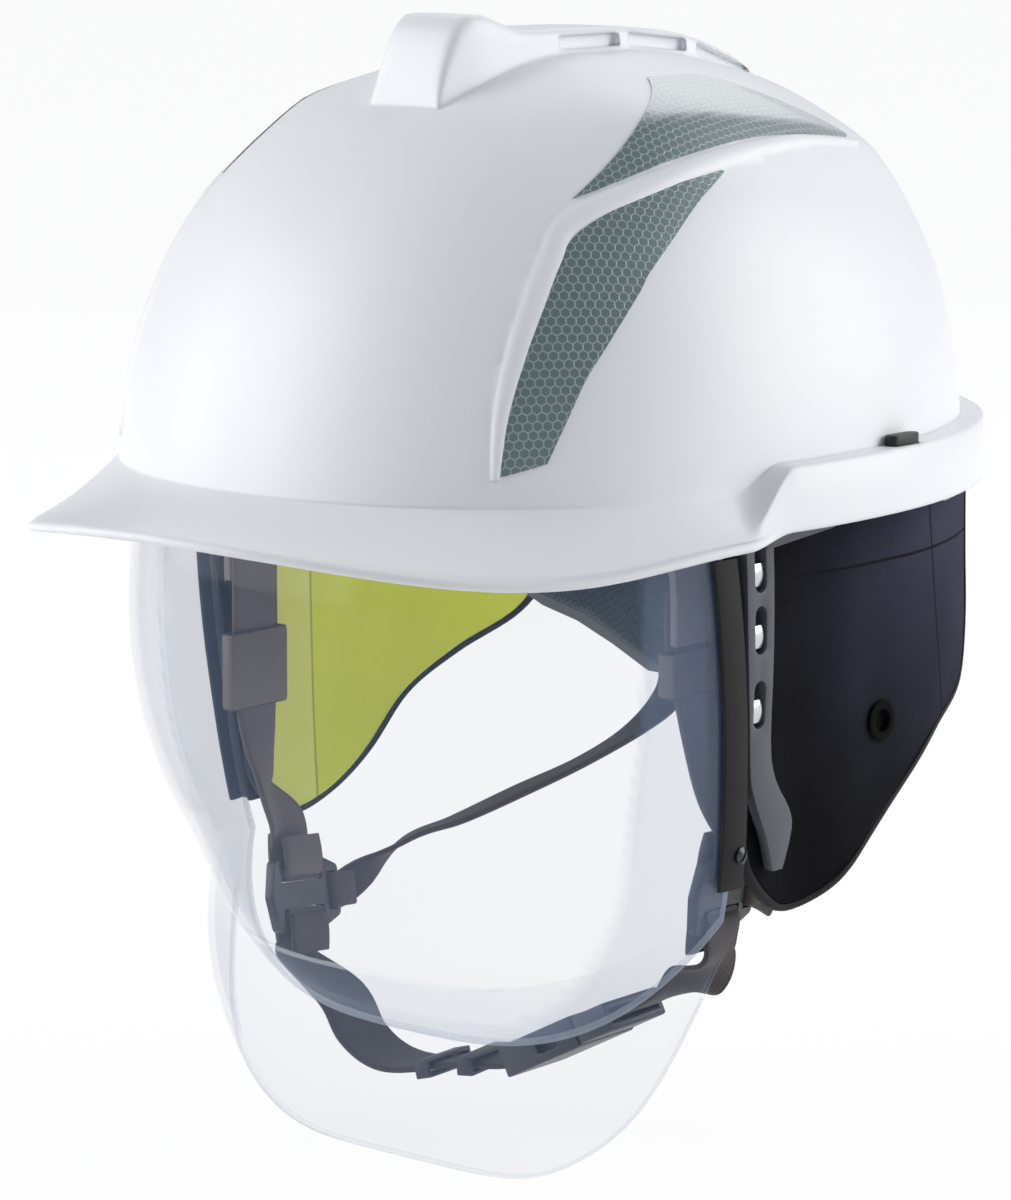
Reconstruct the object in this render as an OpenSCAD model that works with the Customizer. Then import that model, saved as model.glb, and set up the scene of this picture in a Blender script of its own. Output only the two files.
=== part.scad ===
// Arc flash helmet: hard shell, retracting face visor, neck flaps, suspension and chin strap
// X runs to the wearer's left, Y to the rear and Z up; Z = 0 is the plane of the rim's lower edge

/* [Shell] */
// Half width of the dome at the rim
shell_half_width = 105; // [100:1:110]
// Reach of the dome in front of the head's axis
shell_front = 122; // [119:1:128]
// Reach of the dome behind the head's axis
shell_rear = 128; // [124:1:134]
// Height of the dome without its ridge
shell_height = 123; // [122:1:130]
// Wall of the moulding
shell_wall = 3; // [2.4:0.2:3.4]

/* [Brim and band] */
// Half width of the brim's outline
brim_half_width = 113; // [110:1:118]
// Reach of the brim in front
brim_front = 158; // [148:1:168]
// Height at which the brim leaves the dome
brim_root = 14; // [11:1:17]
// Thickness of the brim's edge
brim_lip = 3; // [2:0.5:4]
// How far the brim's middle stands above its level
brim_arch = 5; // [0:0.5:6]
// Height of the raised band at the sides and rear
band_height = 21; // [18:1:24]
// How far the band's foot stands above the brim's underside
band_foot = 3.6; // [0:0.2:4]
// How far the band stands out of the dome
band_depth = 6; // [5:0.5:8]
// Bearing of the step between brim and band, from straight ahead
step_angle = 71; // [68:1:76]

/* [Ridge] */
// Front end of the crown ridge
ridge_front = 57; // [53:1:60]
// Rear end of the crown ridge
ridge_rear = 100; // [90:1:106]
// Half width of the ridge at its foot
ridge_half = 14; // [12:1:16]
// Height of the ridge at its front
ridge_height = 18; // [14:1:20]
// Height of the ridge over the crown
ridge_low = 6; // [5:0.5:8]
// Length of each side pocket
pocket_length = 26; // [20:1:27]
// Depth of each side pocket
pocket_depth = 2.5; // [2:0.5:3.5]

/* [Reflective panels] */
// Thickness of the reflective film
panel_film = 0.5; // [0.3:0.1:0.8]

/* [Visor] */
// Radius of the lens about its own axis
lens_radius = 118; // [115:1:119]
// Room between the side bracket and the lens's widest place
visor_room = 3.8; // [3.7:0.1:4.2]
// Wall of the lens
lens_wall = 2; // [1.6:0.2:2.4]
// Height of the lens above the rim in front
lens_top = 4; // [2:1:5]
// How much fuller the lens grows at its foot
lens_foot = 16; // [12:1:18]
// Wall of the chin guard
guard_wall = 2; // [1.6:0.2:2.4]
// Depth of the chin guard below its rear corners
guard_drop = 72; // [62:1:76]
// Width of the black edge trim
trim_width = 9; // [8:0.5:10]
// Wall of the edge trim's channel
trim_wall = 1.2; // [1:0.1:1.4]
// Thickness of the slotted side frame
frame_wall = 3; // [2.4:0.2:3]
// Width of each slot in the side frame
slot_width = 5; // [4:0.5:5.5]
// Length of each slot in the side frame
slot_length = 13; // [10:1:13]

/* [Visor track] */
// Angle through which the visor lifts
lift_angle = 46; // [40:1:46]
// Height of the pivot pin at rest
pivot_height = 6; // [5:0.5:7]
// Radius of the pivot pin
pin_radius = 3; // [2.5:0.25:3.5]
// Width of the track slot
track_width = 9; // [8.5:0.5:10]
// Thickness of the side bracket that holds the track
bracket_wall = 3.6; // [3:0.2:3.6]
// Running clearance on each side of a sliding or turning piece
run_gap = 0.1; // [0.05:0.05:0.2]
// Gap between pieces that lie against each other
seat_gap = 0.3; // [0.2:0.05:0.4]

/* [Suspension] */
// Half width of the headband
band_half_width = 78; // [74:1:80]
// Reach of the headband in front
band_front = 91; // [88:1:92]
// Height of the headband
headband_height = 26; // [22:1:27]
// Room behind the headband's reach for the rear strap
rear_room = 19; // [17:1:20]
// Thickness of the headband
headband_wall = 2; // [1.6:0.2:2.4]
// Height of the crown straps' crossing
crown_rise = 97; // [90:1:99]
// Width of the crown straps
crown_width = 22; // [18:1:26]
// Thickness of webbing
web_thick = 1.6; // [1.2:0.2:2]
// Width of the chin strap's webbing
web_width = 18; // [16:1:20]
// Thickness of soft pads
pad_thick = 5; // [4:0.5:6]
// Wall of the nape cradle
nape_wall = 2; // [1.6:0.2:2.4]
// Radius of the ratchet knob
knob_radius = 16; // [13:1:18]

/* [Neck flaps] */
// Thickness of each layer of cloth
cloth_thick = 1.2; // [0.9:0.1:1.4]
// Radius of the eyelet's hole
eyelet_hole = 3.2; // [2.6:0.2:3.6]

/* [Hidden] */
$fn = 48;

plan_power = 2.2;
bracket_inner = band_half_width + 0.3556 * (shell_half_width - band_half_width);
bracket_outer = bracket_inner + bracket_wall;
bracket_foot = 0.6;
lens_half_width = bracket_outer + visor_room;
frame_outer = lens_half_width - 0.1;
frame_inner = frame_outer - frame_wall;
front_fullness = 2.1;
side_fullness = 2.5;
rear_fullness = 2.7;
lens_power = 3;
lens_centre = [7, -27];
lens_edge_y = -38;
lens_edge_slope = 0.1;
pivot = [lens_centre[0], pivot_height];
stowed_centre = [12, 0];
pivot_arm = pivot_height - lens_centre[1];
track_end = stowed_centre + pivot_arm * [sin(lift_angle), cos(lift_angle)];
slide_length = norm(track_end - pivot);
track_slope = atan2(track_end[1] - pivot[1], track_end[0] - pivot[0]);

// Small helpers
function lerp(a, b, t) = a + (b - a) * t;
function clamp(t) = max(0, min(1, t));
function smooth(t) = let (c = clamp(t)) c * c * (3 - 2 * c);
function unit(v) = v / norm(v);

// A smooth curve through a list of chosen points, with a number of steps for each stretch
function bend(p, i, t) =
    let (a = p[max(0, i - 1)], b = p[i], c = p[i + 1], d = p[min(len(p) - 1, i + 2)])
    0.5 * (2 * b + (c - a) * t + (2 * a - 5 * b + 4 * c - d) * t * t
        + (3 * b - a - 3 * c + d) * t * t * t);
function smooth_path(p, steps) =
    [for (i = [0 : len(p) - 2], k = [0 : steps - 1]) bend(p, i, k / steps), p[len(p) - 1]];

// A closed solid from rings of equal length, each end closed by a fan
module ring_solid(rings) {
    n = len(rings[0]);
    last = len(rings) - 1;
    r0 = rings[0];
    ahead = cross(r0[1] - r0[0], r0[2] - r0[0]) * (rings[1][0] - r0[0]);
    points = [for (r = rings, i = [0 : n - 1]) r[ahead < 0 ? i : n - 1 - i]];
    sides = [for (j = [0 : last - 1], i = [0 : n - 1], half = [0, 1])
        let (a = j * n + i, b = j * n + (i + 1) % n)
        half == 0 ? [a, b, b + n] : [a, b + n, a + n]];
    starts = [for (i = [1 : n - 2]) [0, i + 1, i]];
    ends = [for (i = [1 : n - 2]) [last * n, last * n + i, last * n + i + 1]];
    polyhedron(points, concat(sides, starts, ends), convexity = 6);
}

// A closed solid between two grids of points, one on each face of a thin sheet
module sheet_solid(face, back) {
    rows = len(face);
    n = len(face[0]);
    half = rows * n;
    points = concat([for (r = face, p = r) p], [for (r = back, p = r) p]);
    faces = [for (j = [0 : rows - 2], i = [0 : n - 2], k = [0 : 3])
        let (a = j * n + i)
        k == 0 ? [a, a + 1, a + n + 1] :
        k == 1 ? [a, a + n + 1, a + n] :
        k == 2 ? [half + a, half + a + n + 1, half + a + 1] :
        [half + a, half + a + n, half + a + n + 1]];
    rim = concat([for (i = [0 : n - 2]) i], [for (j = [0 : rows - 2]) j * n + n - 1],
        [for (i = [n - 1 : -1 : 1]) (rows - 1) * n + i], [for (j = [rows - 1 : -1 : 1]) j * n]);
    m = len(rim);
    edges = [for (i = [0 : m - 1], k = [0, 1])
        let (a = rim[i], b = rim[(i + 1) % m])
        k == 0 ? [b, a, a + half] : [b, a + half, b + half]];
    polyhedron(points, concat(faces, edges), convexity = 8);
}

// A flat strap along a path of centres, with the direction of its width at each
module strap(centres, across, width, thick, steps = 3) {
    path = smooth_path(centres, steps);
    wide = smooth_path(across, steps);
    last = len(path) - 1;
    rings = [for (i = [0 : last])
        let (along = unit(path[min(last, i + 1)] - path[max(0, i - 1)]),
            w = unit(wide[i] - (wide[i] * along) * along) * width / 2,
            t = unit(cross(along, w)) * thick / 2,
            p = path[i])
        [p + w + t, p - w + t, p - w - t, p + w - t]];
    ring_solid(rings);
}

// Sets a piece on three axes of its own at a point
module stand_on(u, v, w, c) {
    multmatrix([[u[0], v[0], w[0], c[0]], [u[1], v[1], w[1], c[1]], [u[2], v[2], w[2], c[2]], [0, 0, 0, 1]])
        children();
}

// The wearer's right hand piece is the left hand one mirrored
module on_side(side) {
    if (side > 0) children();
    else mirror([1, 0, 0]) children();
}

// The dome's surface, by bearing from straight ahead and by climb from the rim to the crown
function oval(angle, half_width, reach, power) =
    1 / pow(pow(abs(sin(angle)) / half_width, power) + pow(abs(cos(angle)) / reach, power), 1 / power);
function dome_plan(angle, grow) =
    oval(angle, shell_half_width + grow, (cos(angle) > 0 ? shell_front : shell_rear) + grow, plan_power);
function fullness(angle) = side_fullness
    + ((cos(angle) > 0 ? front_fullness : rear_fullness) - side_fullness) * pow(cos(angle), 2);
function dome_reach(angle, climb, grow) =
    dome_plan(angle, grow) * pow(cos(climb), 2 / fullness(angle));
function dome_lift(angle, climb, grow) =
    (shell_height + grow) * pow(sin(climb), 2 / fullness(angle));
function dome_climb(angle, z, grow) = asin(pow(z / (shell_height + grow), fullness(angle) / 2));
function dome_point(angle, climb, grow) =
    let (r = dome_reach(angle, climb, grow))
    [r * sin(angle), -r * cos(angle), dome_lift(angle, climb, grow)];
function dome_height(x, y) =
    let (angle = atan2(x, -y), m = fullness(angle), out = norm([x, y]) / dome_plan(angle, 0))
    shell_height * pow(max(0, 1 - pow(out, m)), 1 / m);

// One column of the shell from the crown down the outside, round the rim and up the inside
dome_rows = 11;
skin_rows = 6;
step_half = 10;
step_pitch = 2;
bearings_half = concat([for (i = [0 : 7]) (step_angle - step_half) * i / 8],
    [for (a = [-step_half : step_pitch : step_half]) step_angle + a],
    [for (i = [1 : 13]) lerp(step_angle + step_half, 180, i / 13)]);
bearings = concat(bearings_half,
    [for (i = [len(bearings_half) - 2 : -1 : 1]) 360 - bearings_half[i]]);
function band_share(angle) =
    smooth(((angle > 180 ? 360 - angle : angle) - step_angle) / 9 + 0.5);
function brim_reach(angle) =
    oval(angle, brim_half_width, cos(angle) > 0 ? brim_front : shell_rear + band_depth, plan_power);
arch_shape = [[0, 1.1], [8, 1], [14, 0.68], [20, 0.25], [26, -0.25], [32, -0.7], [38, -0.98], [43, -0.98],
    [50, -0.72], [57, -0.2], [63, 0.1], [75, 0.1], [180, 0.1]];
function brim_top(f) = brim_lip + (brim_root - brim_lip) * pow(1 - f, 1.35);
function shell_column(angle) =
    let (w = band_share(angle),
        root = lerp(brim_root, band_height, w),
        climb = dome_climb(angle, root, 0),
        d = dome_reach(angle, climb, 0),
        foot = root - shell_wall - 1 + w,
        inner_climb = dome_climb(angle, foot, -shell_wall),
        n = dome_reach(angle, inner_climb, -shell_wall),
        e = brim_reach(angle),
        up = brim_arch * table(arch_shape, angle > 180 ? 360 - angle : angle),
        b = dome_plan(angle, band_depth),
        brim = [[lerp(d, e, 0.12), brim_top(0.12) + 0.12 * up], [lerp(d, e, 0.5), brim_top(0.5) + 0.5 * up],
            [e - 1, brim_lip + up], [e, brim_lip - 1 + up], [e, 1 + up], [e - 1, up],
            [lerp(n, e, 0.55), brim_top(0.55) - shell_wall + 0.55 * up],
            [lerp(n, e, 0.12), brim_top(0.12) - shell_wall - 0.5 + 0.12 * up]],
        band = [[lerp(d, b, 0.2), band_height], [lerp(d, b, 0.7), band_height],
            [b - 0.8, band_height - 0.1], [b, band_height - 0.9], [b + 0.4, band_foot + 1], [b - 0.4, band_foot],
            [b - shell_wall + 0.4, band_foot], [b - shell_wall, band_height - shell_wall]],
        profile = concat(
            [for (i = [1 : dome_rows])
                let (c = lerp(90, climb, i / dome_rows))
                [dome_reach(angle, c, 0), dome_lift(angle, c, 0)]],
            [for (k = [0 : 7]) lerp(brim[k], band[k], w)],
            [for (i = [0 : skin_rows - 1])
                let (c = lerp(inner_climb, 90, i / skin_rows))
                [dome_reach(angle, c, -shell_wall), dome_lift(angle, c, -shell_wall)]]))
    [for (p = profile) [p[0] * sin(angle), -p[0] * cos(angle), p[1]]];

module shell_skin() {
    columns = [for (a = bearings) shell_column(a)];
    n = len(columns[0]);
    count = len(columns);
    last = 1 + n * count;
    points = concat([[0, 0, shell_height]], [for (c = columns, p = c) p],
        [[0, 0, shell_height - shell_wall]]);
    sides = [for (c = [0 : count - 1], i = [0 : n - 2], k = [0, 1])
        let (a = 1 + c * n + i, b = 1 + ((c + 1) % count) * n + i)
        k == 0 ? [a, b + 1, a + 1] : [a, b, b + 1]];
    crowns = [for (c = [0 : count - 1], k = [0, 1])
        let (a = 1 + c * n, b = 1 + ((c + 1) % count) * n)
        k == 0 ? [0, b, a] : [last, a + n - 1, b + n - 1]];
    polyhedron(points, concat(sides, crowns), convexity = 8);
}

// The crown ridge is lofted from slices that stand on the dome
ridge_profile = [[-1, 0.5], [-0.95, 0.42 * ridge_height], [-0.85, 0.94 * ridge_height],
    [-0.76, ridge_height], [-0.56, lerp(ridge_low, ridge_height, 0.55)],
    [-0.32, lerp(ridge_low, ridge_height, 0.2)], [0, 1.02 * ridge_low], [0.22, ridge_low],
    [0.45, ridge_low], [0.7, 0.9 * ridge_low], [0.88, 0.55 * ridge_low], [1, 0.3]];
ridge_stations = [for (q = ridge_profile) q[0] * (q[0] < 0 ? ridge_front : ridge_rear)];
function ridge_rise(y) = table(ridge_profile, y < 0 ? y / ridge_front : y / ridge_rear);
function ridge_width(y) = ridge_half * (0.86 + 0.14 * smooth((y + ridge_front) / 20));
module ridge_slice(y) {
    w = ridge_width(y);
    h = ridge_rise(y);
    base = dome_height(w, y);
    top = dome_height(0, y) + h;
    translate([0, y, 0]) rotate([90, 0, 0])
        linear_extrude(0.1, center = true)
            polygon([[-w, base - shell_wall / 2], [w, base - shell_wall / 2], [w, base + 0.3],
                [w - 1.6, top - h * 0.22], [w - 4, top], [4 - w, top], [1.6 - w, top - h * 0.22],
                [-w, base + 0.3]]);
}
module ridge() {
    for (i = [0 : len(ridge_stations) - 2]) hull() {
        ridge_slice(ridge_stations[i]);
        ridge_slice(ridge_stations[i + 1]);
    }
}
pocket_first = -9;
pocket_pitch = pocket_length + 4;
module ridge_pockets() {
    for (side = [-1, 1], i = [0 : 2]) {
        y = pocket_first + i * pocket_pitch + pocket_length / 2;
        slope = atan((dome_height(ridge_half, y + 5) - dome_height(ridge_half, y - 5)) / 10);
        h = ridge_rise(y) - 2.6;
        translate([side * (ridge_half - pocket_depth + 4), y, dome_height(ridge_half, y) + 1 + h / 2])
            rotate([slope, 0, 0])
                cube([8, pocket_length, h], center = true);
    }
}

// Narrow raised rib in front of the lower reflective panel and between the two
rib_rise = 0.8;
module panel_rib() {
    path = smooth_path(rib_line, 2);
    last = len(path) - 1;
    rings = [for (i = [0 : last])
        let (q = path[i], w = 1.7 * sin(180 * clamp(0.04 + 0.92 * i / last)) + 0.3,
            t = unit(path[min(last, i + 1)] - path[max(0, i - 1)]),
            d = [t[1], -t[0]] * w,
            a = q - d, b = q + d)
        [dome_point(a[0], a[1], -1), dome_point(a[0], a[1], 0.1), dome_point(q[0], q[1], rib_rise),
            dome_point(b[0], b[1], 0.1), dome_point(b[0], b[1], -1)]];
    ring_solid(rings);
}

module shell() color("white") difference() {
    union() {
        shell_skin();
        ridge();
        for (side = [-1, 1]) on_side(side) panel_rib();
    }
    ridge_pockets();
    for (side = [-1, 1]) on_side(side) slot_shape(-slot_depth, 4, 2 + seat_gap, slot_span);
}

// Reflective film on the dome, between a front and a rear edge given as bearing and climb
upper_front = [[45, 44], [56, 47], [68, 49.5], [87, 51.5], [106, 51], [122, 48.2]];
upper_rear = [[80, 70.5], [97, 70.5], [109, 69.5], [115, 64], [119.5, 56], [124, 48.7]];
lower_front = [[34.6, 8.4], [35.4, 15], [37.3, 21], [39.5, 27.5], [42, 34], [45.5, 38.5], [53, 42],
    [63, 44.6], [76, 46.4]];
lower_rear = [[40.4, 9.5], [43, 14.2], [45.7, 18.9], [48.4, 22.3], [51.2, 25.7], [54.2, 29.2],
    [57, 32.5], [67, 40.8], [76.8, 46.2]];
rib_line = [[34, 8], [34.6, 15], [36.2, 22], [38.4, 28.5], [41, 35], [44.5, 40.5], [57, 44.6], [78, 48.6],
    [104, 50], [126, 47]];
function film_layer(a, b, across, grow) = [for (i = [0 : len(a) - 1]) [for (k = [0 : across])
    let (q = lerp(a[i], b[i], k / across)) dome_point(q[0], q[1], grow)]];
module reflector(front, rear) color("lightslategray") {
    a = smooth_path(front, 2);
    b = smooth_path(rear, 2);
    across = 5;
    under = seat_gap + 0.2;
    sheet_solid(film_layer(a, b, across, under + panel_film), film_layer(a, b, across, under));
}

// Dark plug that closes the accessory slot in the band's ledge
slot_depth = 1.6;
slot_span = 8.5;
module slot_shape(low, high, half, length) {
    translate([shell_half_width + 1.2, 23, band_height + low]) linear_extrude(high - low) hull() {
        translate([0, -length / 2]) circle(half, $fn = 12);
        translate([0, length / 2]) circle(half, $fn = 12);
    }
}
module slot_plug() color("dimgray") slot_shape(seat_gap - slot_depth, 2.8, 2, slot_span);

// Side bracket inside the shell, with the slanted track on which the visor rides
boss_front = 50;
boss_rear = 60;
function wall_x(y) =
    (shell_half_width + band_depth - shell_wall)
    * pow(1 - pow(y / (shell_rear + band_depth - shell_wall), plan_power), 1 / plan_power);
block_length = 13;
module disc_x(radius, from, to) {
    translate([from, 0, 0]) rotate([0, 90, 0]) cylinder(r = radius, h = to - from);
}
module track_cut() {
    half = block_length / 2 + run_gap;
    translate([bracket_inner - 1, pivot[0], pivot[1]]) rotate([track_slope, 0, 0])
        translate([0, -half, -track_width / 2])
            cube([bracket_wall + 2, slide_length + 2 * half, track_width]);
}
module bracket_outline() {
    hull() {
        translate(pivot) circle(12);
        translate(track_end) circle(11);
    }
    hull() {
        translate(track_end) circle(9);
        translate([56, 8]) circle(7);
        translate([30, 6]) circle(5);
    }
}
module side_bracket() color("gainsboro") {
    difference() {
        translate([bracket_inner, 0, 0]) rotate([90, 0, 90]) linear_extrude(bracket_wall)
            intersection() {
                bracket_outline();
                translate([-20, bracket_foot]) square([100, 60]);
            }
        track_cut();
    }
    // Boss to the shell's wall
    translate([0, 0, 2]) linear_extrude(11) polygon([[bracket_outer - 0.01, boss_front],
        [wall_x(boss_front) - seat_gap, boss_front], [wall_x(boss_rear) - seat_gap, boss_rear],
        [bracket_outer - 0.01, boss_rear]]);
    // Lug to the headband
    translate([band_half_width + seat_gap, 34, 6.5])
        cube([bracket_inner - band_half_width - seat_gap + 0.01, 12, 8.5]);
}

// Block that slides in the track and carries the visor's pin
module slide_block() color("dimgray")
    translate([0, pivot[0], pivot[1]]) difference() {
        rotate([track_slope, 0, 0])
            translate([bracket_inner - 0.2, -block_length / 2, -track_width / 2 + run_gap])
                cube([bracket_wall + 0.4, block_length, track_width - 2 * run_gap]);
        disc_x(pin_radius + run_gap / 2, bracket_inner - 2, bracket_outer + 2);
        translate([bracket_inner - 2, -block_length, bracket_foot - pivot[1] - 20])
            cube([bracket_wall + 4, 2 * block_length, 20]);
    }

module pivot_pin() color("silver")
    translate([0, pivot[0], pivot[1]]) {
        disc_x(pin_radius, bracket_inner - 0.6, frame_outer + 0.3);
        disc_x(pin_radius + 2, bracket_inner - 2, bracket_inner - 0.5, $fn = 12);
        disc_x(pin_radius + 1.5, frame_outer + 0.2, frame_outer + 1.1, $fn = 12);
    }

// The lens is a wide egg turned about an axis across the head
function lens_grown(a) = lens_radius + lens_foot * smooth((-35 - a) / 35);
function lens_at(a, v, grow) =
    let (r = (lens_grown(a) + grow) * pow(cos(v), 2 / lens_power),
        x = (lens_half_width + grow) * sign(v) * pow(abs(sin(v)), 2 / lens_power))
    [x, lens_centre[0] - r * cos(a), lens_centre[1] + r * sin(a)];
function lens_x(y, z, grow) =
    let (d = [lens_centre[0] - y, z - lens_centre[1]],
        out = norm(d) / (lens_grown(atan2(d[1], d[0])) + grow))
    (lens_half_width + grow) * pow(max(0, 1 - pow(out, lens_power)), 1 / lens_power);
edge_reach = lens_centre[0] - lens_edge_y + lens_edge_slope * lens_centre[1];
function edge_y(z) = lens_edge_y - lens_edge_slope * z;
function edge_v(a) =
    let (r = edge_reach / (cos(a) - lens_edge_slope * sin(a)))
    acos(pow(min(1, r / lens_grown(a)), lens_power / 2));
function edge_a(z) =
    let (t = (z - lens_centre[1]) / edge_reach) atan(t / (1 + lens_edge_slope * t));
lens_corner_top = -3;
lens_corner_foot = -104;
lens_foot_a = -62;
function lens_top_a(s) =
    lerp(asin((lens_top - lens_centre[1]) / lens_radius), edge_a(lens_corner_top), pow(abs(s), 3));
function lens_foot_at(s) = lerp(lens_foot_a, edge_a(lens_corner_foot), pow(abs(s), 3));
lens_across = 24;
lens_down = 11;
function lens_layer(grow) = [for (j = [0 : lens_down]) [for (i = [0 : lens_across])
    let (s = 2 * i / lens_across - 1, a = lerp(lens_top_a(s), lens_foot_at(s), j / lens_down))
    lens_at(a, s * edge_v(a), grow)]];
module visor_lens() color([0.8, 0.9, 1, 0.4])
    sheet_solid(lens_layer(0), lens_layer(-lens_wall));

// The chin guard laps over the lens's foot and hangs below it
guard_corner = [lens_half_width - 5, -25, -100];
guard_taper = 0.2;
guard_back = 30;
guard_bulge = 4;
guard_sag = 6;
guard_across = 24;
guard_down = 4;
function guard_rim(s) =
    let (w = 90 * (1 - abs(s)), h = pow(sin(w), 0.4))
    [sign(s) * guard_corner[0] * (1 - guard_taper * h) * pow(cos(w), 0.4),
        guard_corner[1] - guard_back * h, guard_corner[2] - guard_drop * h - guard_sag * pow(sin(w), 8)];
function guard_top(s) = let (a = lerp(-50, -61, pow(abs(s), 2)))
    lens_at(a, s * edge_v(a) * 0.97, seat_gap);
function guard_point(s, t) =
    let (p = lerp(guard_top(s), guard_rim(s), t), out = unit([p[0], p[1] - 10, 0]))
    p + out * guard_bulge * 4 * t * (1 - t);
function guard_layer(grow) = [for (j = [0 : guard_down]) [for (i = [0 : guard_across])
    let (p = guard_point(2 * i / guard_across - 1, j / guard_down),
        out = unit([p[0], p[1] - 20, 0.25 * p[2]]))
    p + grow * out]];
module chin_guard() color([0.75, 0.85, 1, 0.4])
    sheet_solid(guard_layer(guard_wall), guard_layer(0));

// Black channel that grips the lens's rear edge
trim_top = -4;
trim_foot = -94.6;
trim_rings = 12;
module edge_trim() color("black") {
    rings = [for (i = [0 : trim_rings])
        let (z = lerp(trim_top, trim_foot, i / trim_rings),
            front = edge_y(z) - trim_width / 2,
            rear = edge_y(z) + trim_width / 2,
            grip = edge_y(z) - 1.5,
            groove = edge_y(z) + seat_gap + 0.7,
            outer = lens_x(edge_y(z), z, 0) + seat_gap + trim_wall,
            inner = outer - 2 * trim_wall - 2 * seat_gap - 1.55 * lens_wall,
            lead = lens_x(front, z, 0) - lens_x(edge_y(z), z, 0),
            start = lens_x(grip, z, 0) - lens_x(edge_y(z), z, 0))
        [[outer + lead, front, z], [outer, rear, z], [inner, rear, z], [inner + start, grip, z],
            [inner + start + trim_wall, grip, z], [inner + trim_wall, groove, z],
            [outer - trim_wall, groove, z], [outer + lead - trim_wall, front, z]]];
    channel_solid(rings);
}
module channel_solid(rings) {
    n = 8;
    last = len(rings) - 1;
    sides = [for (j = [0 : last - 1], i = [0 : n - 1], half = [0, 1])
        let (a = j * n + i, b = j * n + (i + 1) % n)
        half == 0 ? [a, b, b + n] : [a, b + n, a + n]];
    cap = [[0, 1, 6], [0, 6, 7], [1, 2, 5], [1, 5, 6], [2, 3, 4], [2, 4, 5]];
    starts = [for (f = cap) [f[0], f[2], f[1]]];
    ends = [for (f = cap) last * n * [1, 1, 1] + f];
    polyhedron([for (r = rings, p = r) p], concat(sides, starts, ends), convexity = 6);
}

// Grey side frame: a slotted strip behind the trim, with an arm up to the pivot pin
strip_outline = [[-3, -29.4, -17.6], [-30, -29, -17.8], [-55, -27.1, -17.9], [-66, -25.6, -15],
    [-75, -21.6, -8.4], [-81, -18, -6.4], [-92, -12.5, -8.2]];
slot_centre = -23.5;
slot_heights = [-8, -24.5, -44.5];
module strip_body() {
    path = smooth_path(strip_outline, 3);
    rings = [for (q = path)
        let (z = q[0], outer = min(frame_outer, lens_x((q[1] + q[2]) / 2, z, 0) + 0.4),
            inner = outer - frame_wall)
        [[outer, q[1], z], [outer, q[2], z], [inner, q[2], z], [inner, q[1], z]]];
    ring_solid(rings);
}
module side_frame() color("slategray") difference() {
    union() {
        strip_body();
        translate([frame_inner, 0, 0]) rotate([90, 0, 90]) linear_extrude(frame_wall) hull() {
            translate(pivot) circle(7);
            translate([-29, -3]) square([11.4, 12]);
        }
    }
    translate([0, pivot[0], pivot[1]])
        disc_x(pin_radius + run_gap / 2, frame_inner - 3, frame_outer + 3);
    for (z = slot_heights) translate([frame_inner - 6, slot_centre, z]) rotate([90, 0, 90])
        linear_extrude(frame_wall + 12) {
            translate([0, slot_length / 2 - slot_width / 2]) circle(slot_width / 2, $fn = 12);
            translate([0, slot_width / 2 - slot_length / 2]) circle(slot_width / 2, $fn = 12);
            translate([-slot_width / 2, slot_width / 2 - slot_length / 2])
                square([slot_width, slot_length - slot_width]);
        }
}

// A rivet through the foot of each trim
rivet_radius = 2.3;
module frame_rivets() color("silver")
    for (side = [-1, 1]) on_side(side) let (z = -85)
        translate([lens_x(edge_y(z), z, 0) + trim_wall + seat_gap + 0.15, edge_y(z) + 2.5, z])
            rotate([0, 90, 0]) cylinder(r1 = rivet_radius, r2 = rivet_radius * 0.6, h = 1, $fn = 12);

// Headband: round in front and straight at the sides
headband_foot = 2;
headband_end = 46;
module headband_plan(grow) {
    polygon(concat([for (a = [-90 : 5 : 90])
        [(band_half_width + grow) * sin(a), -(band_front + grow) * cos(a)]],
        [[band_half_width + grow, headband_end], [-band_half_width - grow, headband_end]]));
}
module headband() color("gainsboro")
    translate([0, 0, headband_foot]) linear_extrude(headband_height) difference() {
        headband_plan(0);
        headband_plan(-headband_wall);
        translate([0, headband_end]) square([3 * band_half_width, 4], center = true);
        translate([headband_wall - band_half_width, headband_end - 10])
            square([2 * (band_half_width - headband_wall), 20]);
    }

// Soft pad inside the headband's front, crowned between its edges
module brow_pad() {
    half = 52;
    rows = 4;
    columns = 14;
    function layer(out) = [for (j = [0 : rows]) [for (i = [0 : columns])
        let (a = lerp(-half, half, i / columns), v = 2 * j / rows - 1, u = abs(2 * i / columns - 1),
            soft = (1 - pow(abs(v), 3)) * (1 - pow(u, 6)),
            d = headband_wall + seat_gap + (out ? 0 : 1.2 + (pad_thick - 1.2) * soft))
        [(band_half_width - d) * sin(a), -(band_front - d) * cos(a),
            headband_foot + 2 + (headband_height - 4) * (v + 1) / 2]]];
    color("darkslategray") sheet_solid(layer(false), layer(true));
}

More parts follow.
